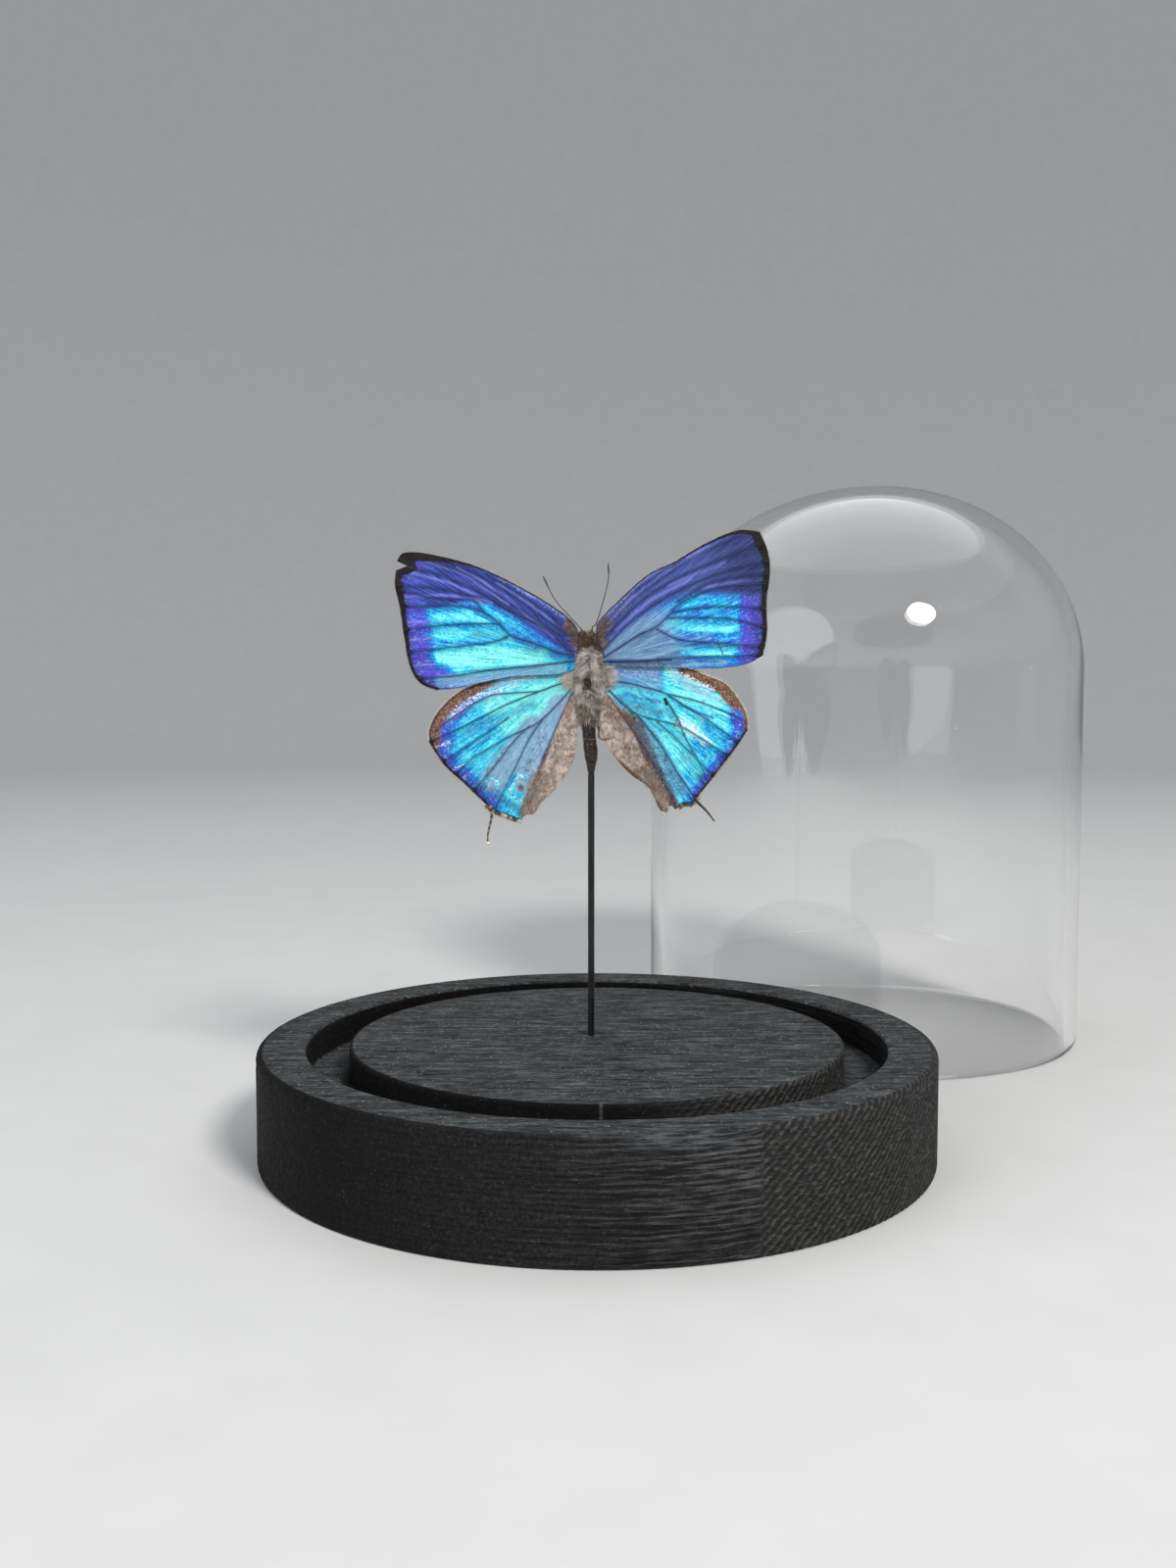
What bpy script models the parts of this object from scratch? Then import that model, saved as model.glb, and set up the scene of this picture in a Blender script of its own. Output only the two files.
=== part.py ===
"""A blue butterfly on a thin rod above a turned wooden base, with its glass dome stood beside it.

Metres, +Z up. The origin is the centre of the base's underside. The butterfly shows its upper
side to -Y, with its head up. The base's top has a groove that the dome fits when it is put on;
here the dome is lifted off and stands on the same surface, behind the base and to its right.
"""

import math

import bmesh
import bpy
from mathutils import Vector

MM = 0.001
GAP = 0.3 * MM  # clearance that touching pieces keep

# Base: a disc with a groove for the dome's rim
BASE_RADIUS = 60.0 * MM
BASE_HEIGHT = 19.5 * MM
GROOVE_OUTER_RADIUS = 51.4 * MM
GROOVE_INNER_RADIUS = 44.0 * MM
GROOVE_DEPTH = 6.0 * MM
EDGE_ROUNDING = 0.6 * MM
BASE_STEPS = 72

# Glass dome: a tube that closes in a crown a little flatter than a half sphere
DOME_CENTRE = Vector((63.5 * MM, 91.5 * MM, 0.0))
DOME_RADIUS = 50.0 * MM
DOME_HEIGHT = 128.5 * MM
DOME_WALL = 3.0 * MM
CROWN_HEIGHT = 43.0 * MM
CROWN_SHIFT = 1.9 * MM  # the blown crown sits this far off its tube's axis, towards +X
RIM_ROUNDING = 0.8 * MM
DOME_STEPS = 60
CROWN_RINGS = 10

# Rod: stands in a blind hole in the base and ends in a pin inside the abdomen
ROD_AXIS = Vector((-1.0 * MM, 1.0 * MM, 0.0))
ROD_RADIUS = 0.6 * MM
ROD_HOLE_DEPTH = 8.0 * MM
PIN_RADIUS = 0.3 * MM
PIN_LENGTH = 3.6 * MM

# Butterfly: placed from the middle of its thorax. Wing and body outlines are in millimetres,
# (across, up), measured from this point; "back" is the distance towards +Y.
BODY_ORIGIN = Vector((-1.5 * MM, 0.0, 84.0 * MM))
BODY_BACK = 1.0
WING_THICKNESS = 0.3
WING_RISE = math.tan(math.radians(4.0))  # the wings lean forward towards their tips
WING_HINGE = 2.0  # "back" is a wing's depth at this distance from the body's middle
FOREWING_BACK = -0.3
HINDWING_BACK = 0.4

THORAX_MIDDLE = (0.3, 1.6)
THORAX_RADII = (2.0, 2.6, 3.75)
HEAD_MIDDLE = (-0.3, 7.15)
HEAD_RADII = (1.45, 1.35, 1.45)
# abdomen: (across, up, radius) down its length
ABDOMEN_STATIONS = (
    (0.1, -2.6, 0.7),
    (0.1, -3.4, 1.3),
    (0.0, -5.5, 1.4),
    (0.0, -8.5, 1.25),
    (0.2, -11.0, 1.2),
    (0.4, -13.0, 1.25),
    (0.5, -14.6, 1.1),
    (0.5, -15.9, 0.8),
)

# Each wing is a chain of stretches that meet at corners; each stretch is one smooth curve
FOREWING_LEFT = (
    ((-1.9, 4.0), (-1.8, 8.0), (-4.0, 10.8), (-9.0, 14.1), (-15.2, 17.4),
     (-21.0, 19.8), (-28.3, 21.5), (-32.2, 21.6), (-33.5, 20.2)),
    ((-33.5, 20.2), (-31.6, 19.3)),
    ((-31.6, 19.3), (-33.5, 18.6)),
    ((-33.5, 18.6), (-33.7, 16.0), (-32.9, 12.0), (-32.2, 7.0), (-31.3, 2.0),
     (-29.5, -1.0), (-26.6, -2.3)),
    ((-26.6, -2.3), (-22.5, -1.9), (-13.9, -0.1), (-5.3, 0.4), (-2.4, 1.3)),
)
FOREWING_RIGHT = (
    ((2.6, 4.0), (1.6, 6.5), (1.6, 9.4), (4.9, 13.0), (10.3, 17.8), (15.2, 20.2),
     (20.3, 23.2), (25.9, 25.5), (29.8, 25.3)),
    ((29.8, 25.3), (31.3, 21.6), (31.6, 18.0), (31.1, 13.0), (31.2, 7.5), (30.5, 3.7)),
    ((30.5, 3.7), (27.6, 2.2), (22.5, 1.5), (13.7, 1.6), (2.7, 2.0)),
)
HINDWING_LEFT = (
    ((-2.3, 1.2), (-8.0, 1.2), (-17.4, -0.6), (-22.5, -2.5), (-26.2, -5.7), (-28.0, -9.0),
     (-28.1, -11.4)),
    ((-28.1, -11.4), (-25.5, -15.4), (-21.6, -19.1), (-18.1, -22.6)),
    ((-18.1, -22.6), (-17.8, -25.6), (-18.3, -27.4), (-18.1, -30.1)),
    ((-18.1, -30.1), (-17.6, -29.9)),
    ((-17.6, -29.9), (-17.7, -27.4), (-17.1, -25.4), (-16.6, -23.7)),
    ((-16.6, -23.7), (-14.2, -24.6), (-11.9, -25.5)),
    ((-11.9, -25.5), (-11.2, -24.5), (-9.7, -24.3), (-8.1, -22.0), (-5.6, -19.7),
     (-3.6, -16.7), (-2.2, -13.0), (-1.9, -8.0), (-2.4, -3.0)),
)
HINDWING_RIGHT = (
    ((2.9, 1.4), (8.0, 2.2), (13.3, 2.1), (17.6, 1.5), (20.5, 0.3), (23.9, -1.1),
     (26.0, -3.3), (27.8, -6.5), (28.1, -9.2)),
    ((28.1, -9.2), (26.0, -12.4), (22.6, -17.0), (19.3, -21.2)),
    ((19.3, -21.2), (20.4, -22.3), (22.7, -25.6)),
    ((22.7, -25.6), (22.3, -25.9)),
    ((22.3, -25.9), (20.2, -23.3), (18.4, -22.3)),
    ((18.4, -22.3), (16.6, -22.4), (15.5, -23.6)),
    ((15.5, -23.6), (14.7, -22.7)),
    ((14.7, -22.7), (13.9, -23.9), (12.6, -23.4), (10.9, -19.8), (8.3, -17.9), (6.0, -15.8),
     (3.6, -12.6), (2.1, -9.0), (2.0, -6.0), (2.8, -3.0)),
)

# Thin parts: (across, up, back) along each middle line, in millimetres
ANTENNA_RADIUS = 0.13
ANTENNA_LINES = {
    "antenna_left": ((-1.4, 8.6, 0.6), (-2.6, 9.9, 0.6), (-5.9, 13.6, 0.2), (-8.0, 17.7, 0.0)),
    "antenna_right": ((0.6, 8.7, 0.6), (1.6, 10.0, 0.6), (3.4, 16.5, 0.2), (3.5, 20.0, 0.0)),
}
LEG_RADIUS = 0.14
LEG_LINES = {
    "leg_left_front": ((-0.5, 3.6, 3.95), (-1.9, 5.2, 4.9), (-0.9, 7.4, 4.6)),
    "leg_left_middle": ((-0.6, 1.6, 4.0), (-2.4, 2.2, 5.4), (-1.5, -2.6, 5.2), (-1.0, -5.2, 4.6)),
    "leg_left_hind": ((-0.5, -0.4, 3.8), (-1.9, -1.6, 4.4), (-1.2, -7.0, 4.2), (-0.6, -10.0, 3.6)),
    "leg_right_front": ((1.1, 3.6, 3.95), (2.5, 5.0, 4.9), (1.3, 7.6, 4.6)),
    "leg_right_middle": ((1.2, 1.6, 4.0), (3.0, 2.0, 5.4), (2.2, -3.0, 5.2), (1.4, -5.6, 4.6)),
    "leg_right_hind": ((1.1, -0.4, 3.8), (2.2, -4.0, 4.4), (1.7, -9.0, 3.6), (2.1, -11.6, 1.6),
                       (2.3, -11.3, -0.5), (3.9, -11.5, -0.9)),
}


def clear_scene():
    for thing in list(bpy.data.objects):
        bpy.data.objects.remove(thing, do_unlink=True)


def principled(name, colour, roughness, metallic=0.0, transmission=0.0, ior=1.5):
    made = bpy.data.materials.new(name)
    made.use_nodes = True
    shader = made.node_tree.nodes["Principled BSDF"]
    shader.inputs["Base Color"].default_value = (*colour, 1.0)
    shader.inputs["Roughness"].default_value = roughness
    shader.inputs["Metallic"].default_value = metallic
    shader.inputs["Transmission Weight"].default_value = transmission
    shader.inputs["IOR"].default_value = ior
    return made


def add_object(name, shape, material):
    """Turns a bmesh into a named object with smooth round faces and one material."""
    bmesh.ops.recalc_face_normals(shape, faces=shape.faces)
    mesh = bpy.data.meshes.new(name)
    shape.to_mesh(mesh)
    shape.free()
    mesh.shade_smooth()
    mesh.set_sharp_from_angle(angle=math.radians(35))
    mesh.materials.append(material)
    made = bpy.data.objects.new(name, mesh)
    bpy.context.scene.collection.objects.link(made)
    return made


def turned(profile, steps, centre=Vector((0.0, 0.0, 0.0))):
    """A solid of revolution about +Z. The profile is (radius, height) from axis to axis."""
    shape = bmesh.new()
    rings = []
    for radius, height in profile:
        if radius == 0.0:
            rings.append([shape.verts.new(centre + Vector((0.0, 0.0, height)))])
            continue
        ring = []
        for step in range(steps):
            turn = 2.0 * math.pi * step / steps
            spoke = Vector((radius * math.cos(turn), radius * math.sin(turn), height))
            ring.append(shape.verts.new(centre + spoke))
        rings.append(ring)
    for low, high in zip(rings, rings[1:]):
        for step in range(steps):
            after = (step + 1) % steps
            corners = [low[step % len(low)], low[after % len(low)],
                       high[after % len(high)], high[step % len(high)]]
            shape.faces.new(list(dict.fromkeys(corners)))
    return shape


def smooth_through(points, pieces):
    """Points along a Catmull-Rom curve through the given ones, with `pieces` to each gap."""
    ends = [Vector(point) for point in points]
    ends = [2 * ends[0] - ends[1], *ends, 2 * ends[-1] - ends[-2]]
    line = []
    for before, start, end, after in zip(ends, ends[1:], ends[2:], ends[3:]):
        for piece in range(pieces):
            t = piece / pieces
            line.append(0.5 * (2 * start + (end - before) * t
                               + (2 * before - 5 * start + 4 * end - after) * t ** 2
                               + (3 * start - before - 3 * end + after) * t ** 3))
    line.append(ends[-2])
    return line


def body_place(across, up, back):
    """World position of a point given in millimetres from the butterfly's thorax."""
    return BODY_ORIGIN + Vector((across, back, up)) * MM


def cut(target, cutter):
    cutter.hide_render = True
    cutter.display_type = "WIRE"
    boolean = target.modifiers.new("cut", "BOOLEAN")
    boolean.operation = "DIFFERENCE"
    boolean.solver = "EXACT"
    boolean.object = cutter


def blind_hole(name, radius, low, high, material):
    """A cutter for a round hole on the rod's axis, between two heights."""
    profile = ((0.0, low), (radius, low), (radius, high), (0.0, high))
    return add_object(name, turned(profile, 20, ROD_AXIS), material)


def make_base(material):
    floor = BASE_HEIGHT - GROOVE_DEPTH
    profile = (
        (0.0, 0.0),
        (BASE_RADIUS, 0.0),
        (BASE_RADIUS, BASE_HEIGHT),
        (GROOVE_OUTER_RADIUS, BASE_HEIGHT),
        (GROOVE_OUTER_RADIUS, floor),
        (GROOVE_INNER_RADIUS, floor),
        (GROOVE_INNER_RADIUS, BASE_HEIGHT),
        (0.0, BASE_HEIGHT),
    )
    base = add_object("base", turned(profile, BASE_STEPS), material)
    bevel = base.modifiers.new("worn edges", "BEVEL")
    bevel.width = EDGE_ROUNDING
    bevel.segments = 2
    bevel.limit_method = "ANGLE"
    bevel.angle_limit = math.radians(40)
    hole_floor = BASE_HEIGHT - ROD_HOLE_DEPTH
    cut(base, blind_hole("rod_hole", ROD_RADIUS + GAP, hole_floor, BASE_HEIGHT + 2 * MM, material))


def crown(radius, height, top):
    """A quarter ellipse from the top, on the axis, down to the tube, as (radius, height)."""
    quarter = [math.pi / 2 * ring / CROWN_RINGS for ring in range(CROWN_RINGS + 1)]
    line = [(radius * math.sin(turn), top - height * (1 - math.cos(turn))) for turn in quarter]
    line[0] = (0.0, top)
    return line


def make_dome(material):
    outer = crown(DOME_RADIUS, CROWN_HEIGHT, DOME_HEIGHT)
    inner = crown(DOME_RADIUS - DOME_WALL, CROWN_HEIGHT - DOME_WALL, DOME_HEIGHT - DOME_WALL)
    inner_radius = DOME_RADIUS - DOME_WALL
    slope = RIM_ROUNDING * (1 - math.sqrt(0.5))
    rim = [
        (DOME_RADIUS, RIM_ROUNDING),
        (DOME_RADIUS - slope, slope),
        (DOME_RADIUS - RIM_ROUNDING, 0.0),
        (inner_radius + RIM_ROUNDING, 0.0),
        (inner_radius + slope, slope),
        (inner_radius, RIM_ROUNDING),
    ]
    shape = turned(outer + rim + inner[::-1], DOME_STEPS, DOME_CENTRE)
    shoulder = DOME_HEIGHT - CROWN_HEIGHT
    for vert in shape.verts:
        climb = max(0.0, vert.co.z - shoulder) / CROWN_HEIGHT
        vert.co.x += CROWN_SHIFT * climb ** 2
    add_object("glass_dome", shape, material)


def make_rod(material):
    foot = BASE_HEIGHT - ROD_HOLE_DEPTH + GAP
    abdomen_tip = BODY_ORIGIN.z + ABDOMEN_STATIONS[-1][1] * MM
    shoulder = abdomen_tip - GAP
    profile = (
        (0.0, foot),
        (ROD_RADIUS, foot),
        (ROD_RADIUS, shoulder - 1.2 * MM),
        (PIN_RADIUS, shoulder),
        (PIN_RADIUS, shoulder + PIN_LENGTH),
        (0.0, shoulder + PIN_LENGTH + PIN_RADIUS),
    )
    add_object("rod", turned(profile, 16, ROD_AXIS), material)


def make_ellipsoid(name, middle, radii, material):
    shape = bmesh.new()
    bmesh.ops.create_uvsphere(shape, u_segments=16, v_segments=10, radius=1.0)
    for vert in shape.verts:
        stretched = Vector(a * b for a, b in zip(vert.co, radii)) * MM
        vert.co = stretched + body_place(middle[0], middle[1], BODY_BACK)
    add_object(name, shape, material)


def make_abdomen(material):
    """A slightly bent spindle with a blind hole up its tip for the rod's pin."""
    steps = 16
    shape = bmesh.new()
    rings = []
    for across, up, radius in ABDOMEN_STATIONS:
        middle = body_place(across, up, BODY_BACK)
        turns = [2 * math.pi * step / steps for step in range(steps)]
        rings.append([
            shape.verts.new(middle + radius * MM * Vector((math.cos(t), math.sin(t), 0.0)))
            for t in turns
        ])
    for high, low in zip(rings, rings[1:]):
        for step in range(steps):
            after = (step + 1) % steps
            shape.faces.new((high[step], high[after], low[after], low[step]))
    shape.faces.new(rings[0])
    shape.faces.new(rings[-1])
    abdomen = add_object("abdomen", shape, material)
    tip = BODY_ORIGIN.z + ABDOMEN_STATIONS[-1][1] * MM
    hole_end = tip + PIN_LENGTH + PIN_RADIUS + GAP
    cut(abdomen, blind_hole("pin_hole", PIN_RADIUS + GAP, tip - 2 * MM, hole_end, material))


def wing_place(across, up, back):
    """World position on a wing: it comes forward as it leaves the body."""
    lean = WING_RISE * (abs(across) - WING_HINGE)
    return body_place(across, up, back - lean)


def make_wing(name, stretches, back, material):
    """A thin plate with the wing's outline."""
    outline = []
    for stretch in stretches:
        pieces = 1 if len(stretch) == 2 else 3
        points = [(across, up, 0.0) for across, up in stretch]
        outline += smooth_through(points, pieces)[:-1]
    last = stretches[-1][-1]
    outline.append(Vector((last[0], last[1], 0.0)))
    shape = bmesh.new()
    sides = []
    for side in (-0.5, 0.5):
        depth = back + side * WING_THICKNESS
        sides.append([shape.verts.new(wing_place(p.x, p.y, depth)) for p in outline])
    front, rear = sides
    count = len(outline)
    for step in range(count):
        after = (step + 1) % count
        shape.faces.new((front[step], front[after], rear[after], rear[step]))
    faces = [shape.faces.new(front), shape.faces.new(rear[::-1])]
    shape.normal_update()
    bmesh.ops.triangulate(shape, faces=faces)
    add_object(name, shape, material)


def make_tube(name, line, radius, material):
    """A thin round part along a smooth line."""
    curve = bpy.data.curves.new(name, "CURVE")
    curve.dimensions = "3D"
    curve.bevel_depth = radius * MM
    curve.bevel_resolution = 1
    curve.use_fill_caps = True
    points = smooth_through(line, 4)
    spline = curve.splines.new("POLY")
    spline.points.add(len(points) - 1)
    for target, (across, up, back) in zip(spline.points, points):
        target.co = (*body_place(across, up, back), 1.0)
    curve.materials.append(material)
    made = bpy.data.objects.new(name, curve)
    bpy.context.scene.collection.objects.link(made)


def main():
    clear_scene()
    wood = principled("black stained wood", (0.025, 0.025, 0.028), 0.6)
    glass = principled("clear glass", (1.0, 1.0, 1.0), 0.02, transmission=1.0)
    steel = principled("blackened steel", (0.01, 0.01, 0.01), 0.4, metallic=0.6)
    hair = principled("grey brown hair", (0.33, 0.28, 0.23), 0.9)
    dark_shell = principled("dark brown shell", (0.03, 0.012, 0.009), 0.35)
    brown_shell = principled("red brown shell", (0.12, 0.045, 0.025), 0.5)
    blue_scales = principled("blue wing scales", (0.06, 0.32, 0.75), 0.35, metallic=0.3)
    make_base(wood)
    make_dome(glass)
    make_rod(steel)
    make_ellipsoid("thorax", THORAX_MIDDLE, THORAX_RADII, hair)
    make_ellipsoid("head", HEAD_MIDDLE, HEAD_RADII, brown_shell)
    make_abdomen(dark_shell)
    make_wing("forewing_left", FOREWING_LEFT, FOREWING_BACK, blue_scales)
    make_wing("forewing_right", FOREWING_RIGHT, FOREWING_BACK, blue_scales)
    make_wing("hindwing_left", HINDWING_LEFT, HINDWING_BACK, blue_scales)
    make_wing("hindwing_right", HINDWING_RIGHT, HINDWING_BACK, blue_scales)
    for name, line in ANTENNA_LINES.items():
        make_tube(name, line, ANTENNA_RADIUS, dark_shell)
    for name, line in LEG_LINES.items():
        make_tube(name, line, LEG_RADIUS, brown_shell)


main()
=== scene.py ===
"""Looks of a mounted blue butterfly: turned black wooden base, rod, dried butterfly and glass dome.

Metres, +Z up, in the CAD model's frame. Wing and body shapes are in millimetres (across, up) from
the middle of the butterfly's thorax, and "back" is the distance towards +Y, as in the CAD model.
"""

import math

import bpy
import numpy as np
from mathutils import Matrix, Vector, noise
from mathutils.geometry import delaunay_2d_cdt


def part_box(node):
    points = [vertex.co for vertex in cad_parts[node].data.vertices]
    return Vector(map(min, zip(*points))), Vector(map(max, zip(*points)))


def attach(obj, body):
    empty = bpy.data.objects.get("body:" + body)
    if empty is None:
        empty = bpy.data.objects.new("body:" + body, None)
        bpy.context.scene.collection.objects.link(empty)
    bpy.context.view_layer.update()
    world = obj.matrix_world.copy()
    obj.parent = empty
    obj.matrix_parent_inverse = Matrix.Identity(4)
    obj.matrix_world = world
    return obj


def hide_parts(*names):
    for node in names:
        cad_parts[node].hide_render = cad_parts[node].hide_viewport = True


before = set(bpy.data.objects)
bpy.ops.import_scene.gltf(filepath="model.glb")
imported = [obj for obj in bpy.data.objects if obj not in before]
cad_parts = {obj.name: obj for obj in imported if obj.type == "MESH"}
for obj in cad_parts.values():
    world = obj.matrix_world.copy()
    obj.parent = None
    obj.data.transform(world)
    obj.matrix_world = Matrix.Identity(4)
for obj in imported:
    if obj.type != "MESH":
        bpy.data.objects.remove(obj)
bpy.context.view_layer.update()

MM = 0.001
RANDOM = np.random.default_rng(7)

# Base: the CAD box gives its radius and height, and these its groove
_, BASE_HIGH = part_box("base")
BASE_RADIUS = BASE_HIGH.x / MM
BASE_HEIGHT = BASE_HIGH.z / MM
GROOVE_OUTER = 51.4
GROOVE_INNER = 44.0
GROOVE_DEPTH = 6.0
ROD_HOLE_RADIUS = 0.8
RIM_SOFTNESS = 1.3
CUT_SPACING = 1.75  # slanting tool marks on the walls
CUT_LEAN = 1.15
LINE_SPACING = 0.95  # long scraped lines round the front
CUT_START = 23.0  # degrees to the right of the front
BASE_STEPS = 720

# Dome: radius, height and centre from its CAD box
DOME_LOW, DOME_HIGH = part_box("glass_dome")
DOME_CENTRE = (DOME_LOW + DOME_HIGH) / 2
DOME_RADIUS = (DOME_HIGH.y - DOME_LOW.y) / 2 / MM
DOME_HEIGHT = DOME_HIGH.z / MM
DOME_WALL = 3.0
CROWN_HEIGHT = 43.0
CROWN_SHIFT = 1.9
RIM_ROUNDING = 1.45

# Butterfly: its own origin from the thorax's CAD box
THORAX_MIDDLE = (0.3, 1.6)
THORAX_RADII = (2.0, 2.6, 3.75)
HEAD_MIDDLE = (-0.3, 7.15)
HEAD_RADII = (1.45, 1.35, 1.45)
BODY_BACK = 1.0
THORAX_LOW, THORAX_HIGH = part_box("thorax")
ORIGIN = (THORAX_LOW + THORAX_HIGH) / 2 - Vector((THORAX_MIDDLE[0], BODY_BACK, THORAX_MIDDLE[1])) * MM
WING_RISE = math.tan(math.radians(4.0))
WING_HINGE = 2.0
WING_SHEET = 0.08
TAIL_TIP = 0.93  # share of a tail's length where its tip begins
GRID = 0.2

ABDOMEN_STATIONS = (
    (0.1, -2.6, 0.7), (0.1, -3.4, 1.3), (0.0, -5.5, 1.4), (0.0, -8.5, 1.25),
    (0.2, -11.0, 1.2), (0.4, -13.0, 1.25), (0.5, -14.6, 1.1), (0.5, -15.9, 0.8),
)
ABDOMEN_END = (0.5, -17.0, 0.63)
ANTENNA_LINES = {
    "antenna_left": ((-1.4, 8.6, 0.6), (-2.6, 9.9, 0.6), (-5.9, 13.6, 0.2), (-8.0, 17.7, 0.0)),
    "antenna_right": ((0.6, 8.7, 0.6), (1.6, 10.0, 0.6), (3.4, 16.5, 0.2), (3.5, 20.0, 0.0)),
}
LEG_LINES = {
    "leg_left_front": ((-0.5, 3.6, 3.95), (-1.9, 5.2, 4.9), (-0.9, 7.4, 4.6)),
    "leg_left_middle": ((-0.6, 1.6, 4.0), (-2.4, 2.2, 5.4), (-0.9, -2.6, 5.2), (-0.6, -5.2, 4.6)),
    "leg_left_hind": ((-0.5, -0.4, 3.8), (-1.4, -1.6, 4.4), (-0.9, -7.0, 4.2), (-0.6, -10.0, 3.6)),
    "leg_right_front": ((1.1, 3.6, 3.95), (2.5, 5.0, 4.9), (1.3, 7.6, 4.6)),
    "leg_right_middle": ((1.2, 1.6, 4.0), (2.2, 2.0, 5.4), (1.0, -3.0, 5.2), (0.8, -5.6, 4.6)),
    "leg_right_hind": ((1.1, -0.4, 3.8), (1.1, -4.0, 4.4), (1.6, -8.0, 3.8), (1.9, -9.4, 1.4),
                       (1.9, -10.6, -0.3), (2.6, -11.1, -0.7), (3.8, -10.9, -0.8)),
}

# Wings: edges in order round the outline, each a smooth curve between corners
WINGS = {
    "forewing_left": {
        "back": -0.3,
        "costa": ((-1.9, 4.0), (-1.8, 8.0), (-4.0, 10.8), (-9.0, 14.1), (-15.2, 17.4),
                  (-21.0, 19.8), (-28.3, 21.5), (-32.2, 21.6), (-33.5, 20.2)),
        "notch": ((-33.5, 20.2), (-31.6, 19.3), (-33.5, 18.6)),
        "outer": ((-33.5, 18.6), (-33.7, 16.0), (-32.9, 12.0), (-32.2, 7.0), (-31.3, 2.0),
                  (-29.5, -1.0), (-26.6, -2.3)),
        "inner": ((-26.6, -2.3), (-22.5, -1.9), (-13.9, -0.1), (-5.3, 0.4), (-2.4, 1.3)),
    },
    "forewing_right": {
        "back": -0.3,
        "costa": ((2.6, 4.0), (1.6, 6.5), (1.6, 9.4), (4.9, 13.0), (10.3, 17.8), (15.2, 20.2),
                  (20.3, 23.2), (25.9, 25.5), (29.8, 25.3)),
        "outer": ((29.8, 25.3), (31.3, 21.6), (31.6, 18.0), (31.1, 13.0), (31.2, 7.5), (30.5, 3.7)),
        "inner": ((30.5, 3.7), (27.6, 2.2), (22.5, 1.5), (13.7, 1.6), (2.7, 2.0)),
    },
    "hindwing_left": {
        "back": 0.4,
        "costa": ((-2.3, 1.2), (-8.0, 1.2), (-17.4, -0.6), (-22.5, -2.5), (-26.2, -5.7),
                  (-28.0, -9.0), (-28.1, -11.4)),
        "outer": ((-28.1, -11.4), (-25.5, -15.4), (-21.6, -19.1), (-18.1, -22.6)),
        "lower": ((-18.1, -22.6), (-16.6, -23.7), (-14.2, -24.6), (-11.9, -25.5)),
        "inner": ((-11.9, -25.5), (-11.2, -24.5), (-9.7, -24.3), (-8.1, -22.0), (-5.6, -19.7),
                  (-3.6, -16.7), (-2.2, -13.0), (-1.9, -8.0), (-2.4, -3.0)),
    },
    "hindwing_right": {
        "back": 0.4,
        "costa": ((2.9, 1.4), (8.0, 2.2), (13.3, 2.1), (17.6, 1.5), (20.5, 0.3), (23.9, -1.1),
                  (26.0, -3.3), (27.8, -6.5), (28.1, -9.2)),
        "outer": ((28.1, -9.2), (26.0, -12.4), (22.6, -17.0), (19.3, -21.2)),
        "lower": ((19.3, -21.2), (18.4, -22.3), (16.6, -22.4), (15.5, -23.6)),
        "tooth": ((15.5, -23.6), (14.7, -22.7)),
        "inner": ((14.7, -22.7), (13.9, -23.9), (12.6, -23.4), (10.9, -19.8), (8.3, -17.9),
                  (6.0, -15.8), (3.6, -12.6), (2.1, -9.0), (2.0, -6.0), (2.8, -3.0)),
    },
}

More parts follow.
